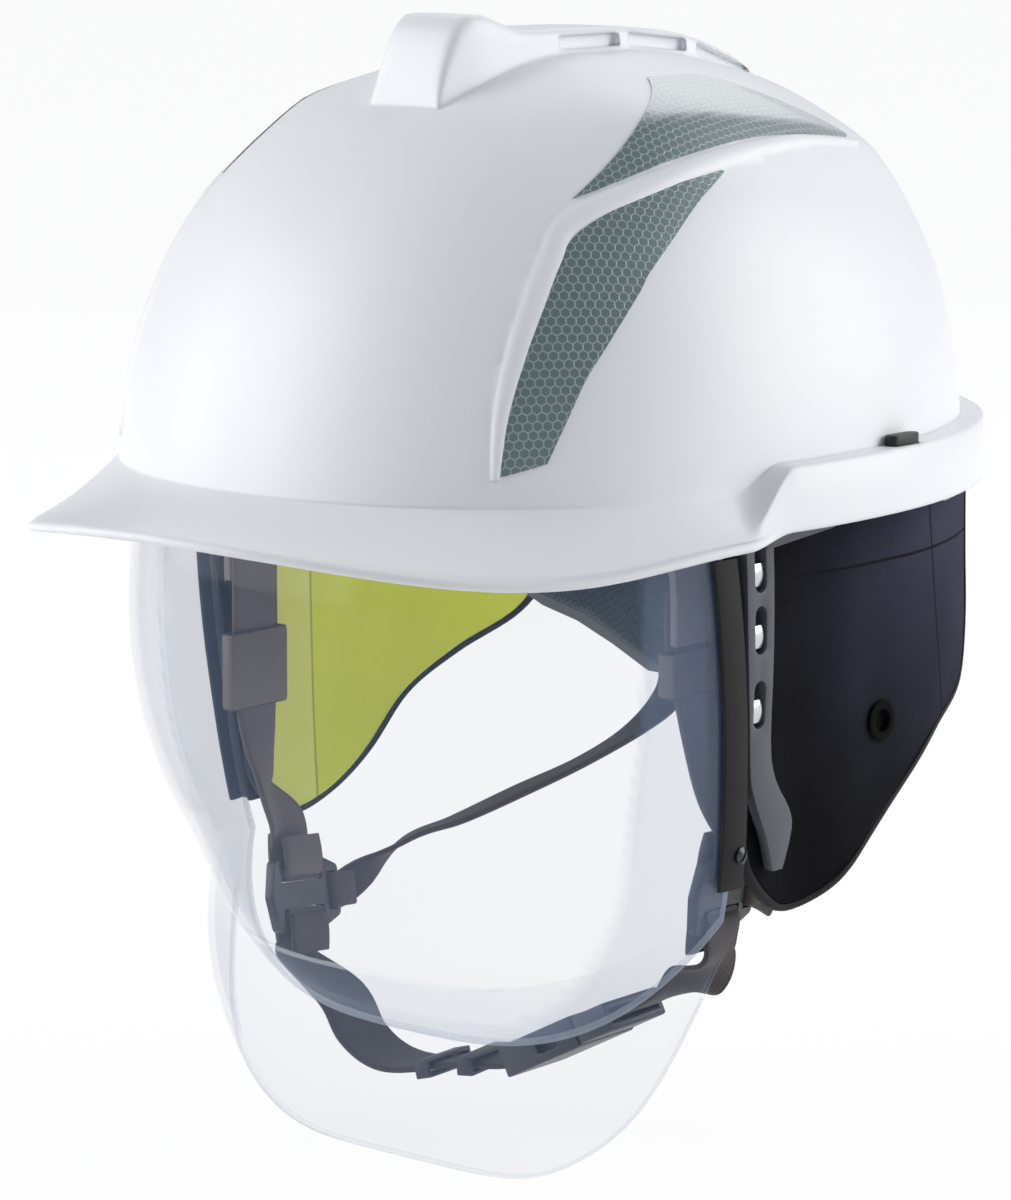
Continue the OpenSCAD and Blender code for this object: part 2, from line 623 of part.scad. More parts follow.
// Crown straps and the pad under their crossing; in front they stay inside the lens as it lifts
crown_foot = headband_foot + headband_height;
front_line = [[1.003, -0.168], [1.005, 0.01], [0.968, 0.112], [0.896, 0.266], [0.809, 0.42], [0.706, 0.573],
    [0.575, 0.727], [0.391, 0.881], [0.13, 0.986]];
cross_drop = web_thick + 1;
module crown_strap_long() color("dimgray") {
    reach = band_front + seat_gap + web_thick / 2;
    rise = crown_rise + seat_gap + 2 - crown_foot;
    centres = concat([for (q = front_line) [0, -reach * q[0], crown_foot + rise * q[1]]],
        [for (a = [5, 20, 35, 50, 65, 80, 90])
            [0, (reach + rear_room) * sin(a), crown_foot + rise * cos(a)]],
        [[0, reach + rear_room, 5]]);
    strap(centres, [for (p = centres) [1, 0, 0]], crown_width, web_thick, 2);
}
module crown_strap_cross() color("dimgray") {
    reach = band_half_width + seat_gap + web_thick / 2;
    centres = concat([[-reach, 8, crown_foot - 12]],
        [for (a = [-90 : 15 : 90])
            [reach * sin(a), 8, crown_foot + 2 + (crown_rise - crown_foot - cross_drop) * cos(a)]],
        [[reach, 8, crown_foot - 12]]);
    strap(centres, [for (p = centres) [0, 1, 0]], crown_width, web_thick, 2);
}
module crown_pad() color("darkslategray")
    translate([0, 6, crown_rise - cross_drop - 1.9 - pad_thick]) linear_extrude(pad_thick) hull() {
        for (x = [-14, 14], y = [-14, 14]) translate([x, y]) circle(8, $fn = 12);
    }
module rear_key() color("gainsboro")
    translate([-14, band_front + rear_room + web_thick + 2 * seat_gap, 3])
        cube([28, shell_rear + band_depth - shell_wall - 0.9 - band_front - rear_room - web_thick
            - 2 * seat_gap, 13]);

// Nape cradle behind the neck, with arms that run inside the headband
nape_centre = 45;
nape_half = band_half_width - headband_wall - seat_gap;
nape_depth = 56;
nape_low = [[0, -68], [26, -70], [44, -55], [62, -46], [80, -22], [90, -2]];
nape_high = [[0, -34], [26, -30], [44, -16], [62, 0], [80, 18], [90, 24]];
nape_arm = 22;
function table(rows, a) =
    let (i = max([for (k = [0 : len(rows) - 2]) a >= rows[k][0] ? k : 0]),
        t = (a - rows[i][0]) / (rows[i + 1][0] - rows[i][0]))
    lerp(rows[i][1], rows[i + 1][1], t);
function nape_point(a, z, inset) =
    let (f = min(90, abs(a)), past = max(0, abs(a) - 90))
    [sign(a) * (nape_half - inset) * sin(f), nape_centre + (nape_depth - inset) * cos(f) - past, z];
module nape_sheet(limit, inset, thick, margin) {
    columns = 24;
    rows = 3;
    function layer(d) = [for (j = [0 : rows]) [for (i = [0 : columns])
        let (a = lerp(-limit, limit, i / columns), f = min(90, abs(a)),
            low = table(nape_low, f) + margin + 4 * smooth((abs(a) - 90) / 10),
            high = table(nape_high, f) - margin)
        nape_point(a, lerp(low, high, j / rows), d)]];
    sheet_solid(layer(inset), layer(inset + thick));
}
module nape_cradle() color("darkslategray")
    nape_sheet(90 + nape_arm, 0, nape_wall, 0);
module nape_pad() color("slategray") nape_sheet(58, nape_wall + seat_gap, pad_thick - 1, 4);

// Ratchet housing and knob on the cradle's back
housing_y = nape_centre + nape_depth + seat_gap;
module ratchet_housing() color("dimgray")
    translate([0, housing_y, -50]) rotate([-90, 0, 0]) difference() {
        linear_extrude(11) offset(5) square([40, 16], center = true);
        translate([0, 0, 5]) cylinder(r = 4 + run_gap, h = 10);
    }
module ratchet_knob() color("black")
    translate([0, housing_y + 11 + seat_gap, -50]) rotate([-90, 0, 0]) difference() {
        union() {
            linear_extrude(9) polygon([for (a = [0 : 5 : 355])
                (knob_radius - 0.6 * (1 + cos(12 * a))) * [cos(a), sin(a)]]);
            translate([0, 0, -5]) cylinder(r = 4, h = 6);
        }
        translate([0, 0, 8]) cylinder(r = knob_radius - 6, h = 2, $fn = 12);
    }

// Neck flap: its face stands inside the visor's side frame in front and follows the head behind
flap_hem = [[-20.5, -74], [-18, -89], [-10, -99], [-1, -103.5], [12, -100], [28, -89.5], [46, -75], [66, -64],
    [87, -54], [97, -38]];
flap_top = 0.2;
function flap_x(y, z, side) =
    let (low = pow(clamp(-z / 100), 1.5), rear = smooth((y + 4) / 30))
    bracket_inner - 0.2 + 3.1 * rear - 12.5 * pow(max(0, y - 40) / 53, 2)
    + (side > 0 ? 3 * rear : -5 - 5 * rear) * low
    + 0.7 * sin(9 * y) * low * rear;
// The right flap hangs a little further forward
far_swing = 0.14;
function flap_point(y, z, side, grow) =
    [flap_x(y, z, side) + grow, side > 0 ? y : y + far_swing * z, side > 0 ? z : z * 0.95];
flap_columns = smooth_path(flap_hem, 2);
flap_rows = 5;
function flap_layer(side, grow) = [for (q = flap_columns) [for (j = [0 : flap_rows])
    let (top = [lerp(flap_hem[0][0] - 6, q[0], 0.35 + 0.65 * clamp((q[0] + 20) / 30)), flap_top],
        p = lerp(top, q, j / flap_rows))
    flap_point(p[0], p[1], side, grow)]];
eyelet_place = [35, -58];
module at_eyelet(side) {
    function near(dy, dz) = flap_point(eyelet_place[0] + dy, eyelet_place[1] + dz, side, 0);
    u = unit(near(0, 1) - near(0, -1));
    w = unit(cross(near(1, 0) - near(-1, 0), u));
    stand_on(u, cross(w, u), w, near(0, 0)) children();
}
module eyelet_cut(side) at_eyelet(side)
    translate([0, 0, -10]) cylinder(r = eyelet_hole + 1.2, h = 20, $fn = 12);
module flap_outer(side) color("midnightblue") difference() {
    sheet_solid(flap_layer(side, -cloth_thick), flap_layer(side, 0));
    eyelet_cut(side);
}
module flap_lining(side) color("yellowgreen")
    sheet_solid(flap_layer(side, -2 * cloth_thick - seat_gap), flap_layer(side, -cloth_thick - seat_gap));
module flap_binding(side) color("black") {
    front = [for (z = [flap_top, -30, -58]) [lerp(flap_hem[0][0] - 3.9, flap_hem[0][0], -z / 74), z]];
    rear = [for (z = [-20, flap_top]) [flap_hem[len(flap_hem) - 1][0], z]];
    path = smooth_path(concat(front, flap_hem, rear), 2);
    last = len(path) - 1;
    rings = [for (i = [0 : last])
        let (t = path[min(last, i + 1)] - path[max(0, i - 1)],
            out = [t[1], -t[0]] / norm(t),
            a = path[i] + out * 0.25,
            b = path[i] + out * 2.2,
            lo = -2 * cloth_thick - seat_gap - 0.3)
        [flap_point(a[0], a[1], side, 0.3), flap_point(b[0], b[1], side, 0.3),
            flap_point(b[0], b[1], side, lo), flap_point(a[0], a[1], side, lo)]];
    ring_solid(rings);
}
module flap_eyelet(side) color("black") at_eyelet(side) difference() {
    union() {
        translate([0, 0, -cloth_thick]) cylinder(r = eyelet_hole + 0.8, h = cloth_thick + 0.6, $fn = 12);
        translate([0, 0, 0.5]) cylinder(r = eyelet_hole + 2.6, h = 0.7, $fn = 12);
    }
    translate([0, 0, 0.6 - cloth_thick]) cylinder(r = eyelet_hole, h = 10, $fn = 12);
}

// Plastic hangers that hold the front straps on the headband
hanger_thick = 2.4;
hanger_foot = band_half_width + 2.2;
module strap_hanger() color("dimgray") {
    a = asin(32 / band_front);
    out = seat_gap + hanger_thick / 2;
    normal = unit([cos(a) / band_half_width, -sin(a) / band_front]);
    top = [band_half_width * cos(a), -band_front * sin(a)] + normal * out;
    tilt = [-normal[1], normal[0], 0];
    w = [0, 1, 0];
    strap([[top[0], top[1], crown_foot - 1], [top[0], top[1], 12], [hanger_foot - 1.8, -33.2, -4],
        [hanger_foot, -33.5, -16],
        [hanger_foot, -33.5, -28]], [tilt, tilt, w, w, w], web_width, hanger_thick, 2);
}

// Three way buckle: a plastic plate with a bar and a slot on three of its sides
bar_reach = 8.8;
bar_half = 1.5;
plate_thick = 3.2;
loop_out = plate_thick / 2 + seat_gap + web_thick / 2;
loop_in = bar_half + seat_gap + web_thick / 2;
rear_width = 10;
rear_bar = 16;
lap_x = hanger_foot - hanger_thick / 2 - seat_gap - web_thick / 2;
near_centre = [lap_x - 3.4, -14.5, -100];
near_frame = [unit([-0.16, 0.98, -0.08]), unit([0.1, 0.1, 0.98])];
far_centre = [7.9 - lap_x, -24.5, -121];
far_frame = [unit([-0.12, 0.98, -0.12]), unit([-0.2, 0.1, 0.97])];
function frame_point(c, f, p) =
    let (u = f[0], v = unit(f[1] - (f[1] * u) * u), w = cross(u, v)) c + p[0] * u + p[1] * v + p[2] * w;
function side_centre(side) = side > 0 ? near_centre : far_centre;
function side_frame_of(side) = side > 0 ? near_frame : far_frame;
function on_plate(side, p) = frame_point(side_centre(side), side_frame_of(side), p);
function plate_way(side, p) = on_plate(side, p) - side_centre(side);
module y_buckle(side) color("dimgray") {
    c = side_centre(side);
    u = plate_way(side, [1, 0, 0]);
    v = plate_way(side, [0, 1, 0]);
    w = plate_way(side, [0, 0, 1]);
    slot = web_width + 2;
    stand_on(u, v, w, c)
        translate([0, 0, -plate_thick / 2]) linear_extrude(plate_thick) difference() {
            offset(2) polygon([[-10.5, 8.4], [9, 8.4], [rear_bar, 5.8], [rear_bar, -5.8], [9, -8.4],
                [-10.5, -8.4], [-12.5, 0]]);
            translate([0, bar_reach - bar_half - 1.8]) square([slot, 3.6], center = true);
            translate([0, 1.8 + bar_half - bar_reach]) square([slot, 3.6], center = true);
            translate([rear_bar - bar_half - 0.1, 0]) square([4, rear_width + 1.4], center = true);
        }
}
// Loop of webbing round a plate's bar; way is [1, 0], [0, 1] or [0, -1], out of the plate
loop_steps = [[9, 0.9], [4, 1], [0, 1.03], [-0.95, 0.8], [-1.05, 0], [-0.95, -0.8], [0, -1.03], [4, -1],
    [8, -0.8]];
function loop_at(side, way, face) = [for (q = loop_steps)
    let (bar = way[0] > 0 ? rear_bar + bar_half / 3 : bar_reach,
        d = q[0] > 0 ? bar + q[0] : bar + q[0] * loop_in)
    on_plate(side, [way[0] * d, way[1] * d, face * q[1] * loop_out])];
function loop_across(side, way, count) =
    [for (i = [1 : count]) plate_way(side, [way[1] == 0 ? 0 : 1, way[0], 0])];

// Front webbing from each hanger to its three way buckle
module front_web_left() color("dimgray") {
    loop = loop_at(1, [0, 1], 1);
    run = [[lap_x, -33.5, -14], [lap_x, -33.5, -29], [lap_x + 1, -31.5, -40], [lap_x + 1.2, -26.5, -56],
        [lap_x + 0.4, -20.5, -70]];
    wide = [[0, 1, 0], [0, 1, 0], [0, 1, 0], [0, 1, 0.1], [-0.1, 1, 0.1]];
    strap(concat(run, loop), concat(wide, loop_across(1, [0, 1], len(loop))), web_width, web_thick, 2);
}
module front_web_right() color("dimgray") {
    loop = loop_at(-1, [0, 1], -1);
    run = [[-lap_x, -33.5, -14], [-lap_x, -33.5, -29], [-lap_x, -33.6, -50], [0.4 - lap_x, -33.6, -68],
        [2.4 - lap_x, -34, -81], [4.6 - lap_x, -34, -91]];
    wide = [[0, 1, 0], [0, 1, 0], [0, 1, 0], [0, 1, 0], [0.35, 1, 0], [0.7, 0.75, 0]];
    strap(concat(run, loop), concat(wide, loop_across(-1, [0, 1], len(loop))), web_width, web_thick, 2);
}
module strap_slider(side) color("dimgray")
    translate([0, side > 0 ? -32 : -33.7, side > 0 ? -36 : -54]) difference() {
        half = side > 0 ? 6 : 11;
        translate([lap_x - 2, -web_width / 2 - 2.6, -half])
            cube([side > 0 ? 5.1 : 4, web_width + 5.2, 2 * half]);
        translate([lap_x - 1.2, -web_width / 2 - 1.6, -half - 1])
            cube([side > 0 ? 3.5 : 2.4, web_width + 3.2, 2 * half + 2]);
    }

// Rear webbing from each buckle round the neck to the cradle
module rear_web(side) color("dimgray") {
    loop = loop_at(side, [1, 0], side);
    count = len(loop);
    k = band_half_width / 78;
    path = [[64, 16, -111], [58, 32, -107], [50.5, 52, -100.5], [42, 71, -93.5], [34.5, 87, -85],
        [29.5, 97, -75], [28.3, 98.5, -62]];
    wide = [[-0.9, -0.3, 0.35], [-0.9, -0.4, 0.1], [-0.88, -0.45, 0], [-0.88, -0.4, 0.1], [-0.9, -0.1, 0.1],
        [-0.957, 0.291, 0], [-0.957, 0.291, 0]];
    strap(concat([for (i = [count - 1 : -1 : 0]) loop[i]], [for (p = path) [side * k * p[0], p[1], p[2]]]),
        concat(loop_across(side, [1, 0], count), [for (p = wide) [side * p[0], p[1], p[2]]]),
        rear_width, web_thick, 2);
}

// Chin webbing from each three way buckle to the side release buckle
buckle_centre = [27, -14, -147];
buckle_frame = [unit([38, -1, 20]), [0, 1, 0]];
function on_buckle(p) = frame_point(buckle_centre, buckle_frame, p);
right_run = [[-56, -21.5, -149.5], [-48, -22, -159], [-38, -21, -164.5], [-26, -18, -165], [-12, -16, -161.5],
    on_buckle([-26, 0, -0.5]), on_buckle([-19, 0, 0])];
module chin_web_right() color("dimgray") {
    loop = loop_at(-1, [0, -1], -1);
    count = len(loop);
    across = on_buckle([0, 1, 0]) - buckle_centre;
    strap(concat([for (i = [count - 1 : -1 : 0]) loop[i]], right_run),
        concat(loop_across(-1, [0, -1], count), [[0.1, 0.98, 0.1], [0.1, 1, 0.1], [0, 1, 0.1], [0, 1, 0],
            [0, 1, 0], across, across]), web_width, web_thick, 2);
}
module chin_web_left() color("dimgray") {
    loop = loop_at(1, [0, -1], 1);
    count = len(loop);
    across = on_buckle([0, 1, 0]) - buckle_centre;
    strap(concat([for (i = [count - 1 : -1 : 0]) loop[i]], [[near_centre[0] - 7, -15.4, -125.4],
        [near_centre[0] - 14, -14.9, -129.8], on_buckle([29, 0, 0]), on_buckle([21, 0, 0])]),
        concat(loop_across(1, [0, -1], count), [[0.6, 0.8, -0.3], [0.3, 1, 0], across, across]),
        web_width, web_thick, 2);
}

// Side release buckle, drawn along its own axes and set in the chin webbing
module place_buckle() {
    u = on_buckle([1, 0, 0]) - buckle_centre;
    v = on_buckle([0, 1, 0]) - buckle_centre;
    w = on_buckle([0, 0, 1]) - buckle_centre;
    c = buckle_centre;
    stand_on(u, v, w, c) children();
}
socket_length = 30;
socket_mouth = 8;
buckle_half = 12;
module buckle_socket() color("dimgray") place_buckle() difference() {
    translate([socket_mouth - socket_length, -buckle_half, -4.5]) cube([socket_length, 2 * buckle_half, 9]);
    translate([socket_mouth - 20, 1.4 - buckle_half, -2.8]) cube([22, 2 * (buckle_half - 1.4), 5.6]);
    translate([-23, -9.7, -1.5]) cube([6, 19.4, 3]);
    for (y = [-buckle_half - 1, buckle_half - 3.4]) translate([-8, y, -2]) cube([8, 4.4, 4]);
}
module buckle_plug() color("dimgray") place_buckle() {
    difference() {
        translate([socket_mouth + seat_gap, -buckle_half, -4]) cube([13, 2 * buckle_half, 8]);
        translate([socket_mouth + 5, -9.7, -1.5]) cube([10, 19.4, 3]);
    }
    for (y = [-9.6, -1.4, 6.8]) translate([-9, y, -1.8]) cube([socket_mouth + 9.4, 2.8, 3.6]);
}
module web_keepers() color("black")
    for (q = [[3, 0.35], [4, 0.25]]) {
        c = bend(right_run, q[0], q[1]);
        u = unit(bend(right_run, q[0], q[1] + 0.1) - bend(right_run, q[0], q[1] - 0.1));
        v = unit([0, 1, 0] - u[1] * u);
        w = cross(u, v);
        stand_on(u, v, w, c) difference() {
            cube([5, web_width + 4.4, 5.2], center = true);
            cube([6, web_width + 1.6, 2.8], center = true);
        }
    }

shell();
reflector(upper_front, upper_rear);  // reflector_upper_left
on_side(-1) reflector(upper_front, upper_rear);  // reflector_upper_right
reflector(lower_rear, lower_front);  // reflector_lower_left
on_side(-1) reflector(lower_rear, lower_front);  // reflector_lower_right
slot_plug();  // slot_plug_left
on_side(-1) slot_plug();  // slot_plug_right
side_bracket();  // side_bracket_left
on_side(-1) side_bracket();  // side_bracket_right
slide_block();  // slide_block_left
on_side(-1) slide_block();  // slide_block_right
pivot_pin();  // pivot_pin_left
on_side(-1) pivot_pin();  // pivot_pin_right
visor_lens();
chin_guard();
edge_trim();  // edge_trim_left
on_side(-1) edge_trim();  // edge_trim_right
side_frame();  // side_frame_left
on_side(-1) side_frame();  // side_frame_right
frame_rivets();
headband();
brow_pad();
crown_strap_long();
crown_strap_cross();
crown_pad();
rear_key();
nape_cradle();
nape_pad();
ratchet_housing();
ratchet_knob();
flap_outer(1);  // flap_outer_left
on_side(-1) flap_outer(-1);  // flap_outer_right
flap_lining(1);  // flap_lining_left
on_side(-1) flap_lining(-1);  // flap_lining_right
flap_binding(1);  // flap_binding_left
on_side(-1) flap_binding(-1);  // flap_binding_right
flap_eyelet(1);  // flap_eyelet_left
on_side(-1) flap_eyelet(-1);  // flap_eyelet_right
strap_hanger();  // strap_hanger_left
on_side(-1) strap_hanger();  // strap_hanger_right
strap_slider(1);  // strap_slider_left
on_side(-1) strap_slider(-1);  // strap_slider_right
front_web_left();
front_web_right();
rear_web(1);  // rear_web_left
rear_web(-1);  // rear_web_right
y_buckle(1);  // y_buckle_left
y_buckle(-1);  // y_buckle_right
chin_web_left();
chin_web_right();
buckle_socket();
buckle_plug();
web_keepers();
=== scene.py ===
"""Arc flash helmet: the looks of every piece, in the order in which the helmet is put together.

Lengths are in millimetres and angles in degrees until a mesh is made, which is in metres.
"""
import math

import bpy
import numpy as np
from mathutils import Matrix, Vector


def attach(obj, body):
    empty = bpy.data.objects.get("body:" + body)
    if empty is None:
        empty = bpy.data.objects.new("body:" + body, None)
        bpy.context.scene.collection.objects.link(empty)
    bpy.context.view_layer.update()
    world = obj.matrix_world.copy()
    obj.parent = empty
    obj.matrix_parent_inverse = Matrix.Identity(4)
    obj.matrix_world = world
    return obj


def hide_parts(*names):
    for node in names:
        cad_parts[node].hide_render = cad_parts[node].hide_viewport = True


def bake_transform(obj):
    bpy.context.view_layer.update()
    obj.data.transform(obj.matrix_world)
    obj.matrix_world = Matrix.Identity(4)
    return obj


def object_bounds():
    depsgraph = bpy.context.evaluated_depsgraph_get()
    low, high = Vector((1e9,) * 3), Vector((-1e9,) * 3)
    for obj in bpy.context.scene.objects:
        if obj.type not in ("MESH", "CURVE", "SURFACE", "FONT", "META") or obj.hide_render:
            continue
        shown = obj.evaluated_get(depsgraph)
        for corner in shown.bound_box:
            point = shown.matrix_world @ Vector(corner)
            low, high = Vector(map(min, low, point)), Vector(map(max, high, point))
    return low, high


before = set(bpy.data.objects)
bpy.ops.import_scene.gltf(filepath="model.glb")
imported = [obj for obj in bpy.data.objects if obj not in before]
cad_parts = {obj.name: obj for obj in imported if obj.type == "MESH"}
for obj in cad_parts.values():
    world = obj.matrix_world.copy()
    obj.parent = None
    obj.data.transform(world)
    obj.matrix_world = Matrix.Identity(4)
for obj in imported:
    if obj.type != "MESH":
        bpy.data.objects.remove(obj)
cad_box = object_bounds()
MM = 0.001


# Camera
# The helmet is seen from the wearer's front left, a little above eye level and from well back,
# with a long lens, so that the near and the far side come out almost alike.
camera_bearing = math.radians(40)
camera_climb = math.radians(10)
camera_distance = 1300
aim = (-9.75, -29.8)
sideways = Vector((math.cos(camera_bearing), math.sin(camera_bearing), 0))
backwards = Vector((math.sin(camera_bearing) * math.cos(camera_climb),
                    -math.cos(camera_bearing) * math.cos(camera_climb), math.sin(camera_climb)))
upwards = backwards.cross(sideways)
camera = bpy.data.objects.new("camera", bpy.data.cameras.new("camera"))
bpy.context.scene.collection.objects.link(camera)
camera.data.sensor_fit = "VERTICAL"
camera.data.sensor_height = 36
camera.data.lens = 140
camera.data.clip_end = 60
stand = (backwards * camera_distance + sideways * aim[0] + upwards * aim[1]) * MM
facing = Matrix((sideways, upwards, backwards)).transposed().to_4x4()
camera.matrix_world = Matrix.Translation(stand) @ facing
bpy.context.scene.camera = camera


# Studio
# White paper underneath and all round, and a large soft lamp high on either side of the picture, so that
# the surfaces that face the camera are the greyest. The paper shows white and keeps the helmet's shadow.
paper_radius, paper_drop, paper_sides = 12, 0.0005, 64
paper_white, paper_strength, paper_share = 0.9, 1.03, 0.9
sky_colour, sky_strength = (0.88, 0.94, 1.0, 1), 0.34


def tone(red, green, blue):
    """A colour given as it looks on screen, from 0 to 255, in the linear values that a material takes."""
    def linear(value):
        part = value / 255
        return part / 12.92 if part <= 0.04045 else ((part + 0.055) / 1.055) ** 2.4
    return linear(red), linear(green), linear(blue), 1.0


class Wire:
    """A value in a node tree, on which plain operators such as + and * work."""

    def __init__(self, finish, socket):
        self.finish = finish
        self.socket = socket

    def maths(self, operation, *others):
        return self.finish.node("Math", {"operation": operation}, dict(enumerate((self,) + others)))

    def clamped(self):
        """Keeps the result of this value's own Math node between 0 and 1."""
        self.socket.node.use_clamp = True
        return self

    def __add__(self, other):
        return self.maths("ADD", other)

    def __mul__(self, other):
        return self.maths("MULTIPLY", other)

    def __sub__(self, other):
        return self.maths("SUBTRACT", other)

    def __rsub__(self, other):
        return self.finish.node("Math", {"operation": "SUBTRACT"}, {0: other, 1: self})

    def __truediv__(self, other):
        return self.maths("DIVIDE", other)

    def __pow__(self, other):
        return self.maths("POWER", other)

    def __gt__(self, other):
        return self.maths("GREATER_THAN", other)

    def __lt__(self, other):
        return self.maths("LESS_THAN", other)

    __radd__ = __add__
    __rmul__ = __mul__


class Finish:
    """One material, or the world round the helmet, and the few calls that its nodes are made with."""

    def __init__(self, name, kind="materials"):
        self.material = getattr(bpy.data, kind).new(name)
        self.material.use_nodes = True
        self.tree = self.material.node_tree
        self.tree.nodes.clear()

    def node(self, kind, settings=None, values=None, output=0):
        made = self.tree.nodes.new("ShaderNode" + kind)
        for name, value in (settings or {}).items():
            setattr(made, name, value)
        for name, value in (values or {}).items():
            if isinstance(value, Wire):
                self.tree.links.new(value.socket, made.inputs[name])
            else:
                made.inputs[name].default_value = value
        return Wire(self, made.outputs[output])

    def mix(self, share, first, second):
        return self.node("Mix", {"data_type": "RGBA"}, {0: share, 6: first, 7: second}, 2)

    def place(self, name="Object"):
        return self.node("TexCoord", None, None, name)

    def along_and_across(self):
        """Where a point lies on its flat cloth or film, in millimetres."""
        flat = self.place("UV")
        return [self.node("SeparateXYZ", None, {"Vector": flat}, axis) for axis in "XY"]

    def noise(self, scale, detail=2.0, where=None, stretch=None):
        where = where or self.place()
        if stretch:
            where = self.node("Mapping", None, {"Vector": where, "Scale": stretch})
        return self.node("TexNoise", None, {"Vector": where, "Scale": scale, "Detail": detail}, "Fac")

    def facing(self):
        """0 where the surface faces the viewer and 1 where it is seen aslant."""
        return self.node("LayerWeight", None, {"Blend": 0.5}, "Facing")

    def marked(self, name):
        """A value that the mesh itself holds at each of its points."""
        return self.node("Attribute", {"attribute_name": name}, None, "Fac")

    def surface(self, colour, roughness, height, depth, rounded=0.0, **plain):
        relief = {"Height": height, "Distance": depth}
        if rounded:
            relief["Normal"] = self.node("Bevel", {"samples": 4}, {"Radius": rounded})
        values = {"Base Color": colour, "Roughness": roughness, "Normal": self.node("Bump", None, relief)}
        for name, value in plain.items():
            values[name.replace("_", " ").title().replace("Ior", "IOR")] = value
        self.end(self.node("BsdfPrincipled", None, values))
        return self.material

    def end(self, shader, kind="Material"):
        last = self.tree.nodes.new("ShaderNodeOutput" + kind)
        self.tree.links.new(shader.socket, last.inputs["Surface"])


def seen_by(finish, *kinds):
    """1 for what the camera sees directly and for the other kinds of ray that are named, 0 for the rest."""
    seen = finish.node("LightPath", None, None, "Is Camera Ray")
    for kind in kinds:
        seen = seen.maths("MAXIMUM", finish.node("LightPath", None, None, "Is " + kind + " Ray"))
    return seen


paper = Finish("studio_paper")
paper_lit = paper.node("BsdfDiffuse", None, {"Color": (paper_white, paper_white, paper_white, 1)})
paper_glow = paper.node("Emission", None, {"Color": (1, 1, 1, 1), "Strength": paper_strength})
paper_seen = seen_by(paper, "Glossy", "Transmission") * paper_share
paper.end(paper.node("MixShader", None, {0: paper_seen, 1: paper_lit, 2: paper_glow}))
floor_mesh = bpy.data.meshes.new("studio_floor")
floor_mesh.from_pydata([(paper_radius * math.cos(a), paper_radius * math.sin(a), cad_box[0][2] - paper_drop)
                        for a in np.linspace(0, 2 * math.pi, paper_sides, endpoint=False)],
                       [], [range(paper_sides)])
floor_mesh.materials.append(paper.material)
floor_object = bpy.data.objects.new("studio_floor", floor_mesh)
bpy.context.scene.collection.objects.link(floor_object)

sky = Finish("studio_white", "worlds")
bpy.context.scene.world = sky.material
sky_light = sky.node("Background", None, {"Color": sky_colour, "Strength": sky_strength})
sky_white = sky.node("Background", None, {"Color": (1, 1, 1, 1)})
sky.end(sky.node("MixShader", None, {0: seen_by(sky, "Transmission"), 1: sky_light, 2: sky_white}), "World")

for lamp_name, right, up, near, lamp_size, lamp_power, lamp_colour in (
        ("lamp_right", 1.9, 0.8, 0.1, 1.6, 29, (1.0, 0.985, 0.965)),
        ("lamp_left", -1.9, 0.7, 0.2, 1.6, 30, (1.0, 0.985, 0.97)),
        ("lamp_behind", 0.2, 1.6, -1.4, 1.2, 6, (1.0, 1.0, 1.0))):
    lamp = bpy.data.objects.new(lamp_name, bpy.data.lights.new(lamp_name, "AREA"))
    lamp.data.size = lamp_size
    lamp.data.energy = lamp_power
    lamp.data.color = lamp_colour
    lamp.location = sideways * right + upwards * up + backwards * near
    lamp.rotation_euler = (-lamp.location).to_track_quat("-Z", "Y").to_euler()
    bpy.context.scene.collection.objects.link(lamp)
bpy.context.scene.view_settings.view_transform = "Standard"


# Shell
# One injection moulding in white plastic, satin with a faint orange peel: dome, brim, raised side
# band and crown ridge, with three pockets down each side of the ridge and a soft fold at each shoulder.
half_width, front_reach, rear_reach, dome_height, wall = 105, 122, 128, 123, 3
brim_half_width, brim_front, brim_root, brim_lip, brim_arch = 113, 158, 14, 3, 5
brim_curve, lip_round = 1.35, 1.3
arch_shape = ((0, 8, 14, 20, 26, 32, 38, 43, 50, 57, 63, 180),
              (1.1, 1, 0.68, 0.25, -0.25, -0.7, -0.98, -0.98, -0.72, -0.2, 0.1, 0.1))
arch_smoothing = (-7, -3.5, 0, 3.5, 7)
band_foot = 3.6
band_height, band_depth, step_bearing, step_length = 21, 6, 71, 9
plan_power, front_power, side_power, rear_power = 2.2, 2.1, 2.5, 2.7
fold_bearings = np.radians([30, 50, 80, 112, 128, 150, 180])
fold_climbs = np.radians([60, 57.5, 57, 52.6, 48, 42, 38])
fold_lift, fold_width, fold_round = 2.3, np.radians(13), 0.004
fold_start, fold_start_length, fold_end, fold_end_length = np.radians([44, 22, 125, 35])


def piece(name, points, faces, finish, body=None, slot=None, nodes=(), flat=None, corner=35):
    """One mesh object, given in millimetres; flat gives each point's place on its flat cloth or film."""
    mesh = bpy.data.meshes.new(name)
    mesh.from_pydata([tuple(float(v) * MM for v in p) for p in points], [],
                     [list(map(int, f)) for f in faces])
    mesh.materials.append(finish)
    if flat is not None:
        layer = mesh.uv_layers.new(name="cloth")
        corners = np.empty(len(mesh.loops), dtype=np.int32)
        mesh.loops.foreach_get("vertex_index", corners)
        layer.data.foreach_set("uv", np.asarray(flat, dtype=np.float32)[corners].ravel())
    mesh.validate()
    mesh.shade_smooth()
    mesh.set_sharp_from_angle(angle=math.radians(corner))
    made = bpy.data.objects.new(name, mesh)
    bpy.context.scene.collection.objects.link(made)
    if body:
        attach(made, body)
    if nodes:
        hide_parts(*nodes)
    return made


def mark(made, name, values):
    """Writes one number at each point of a piece, for its material to read."""
    layer = made.data.attributes.new(name, "FLOAT", "POINT")
    layer.data.foreach_set("value", values.astype(np.float32))


def step_between(value):
    value = np.clip(value, 0, 1)
    return value * value * (3 - 2 * value)


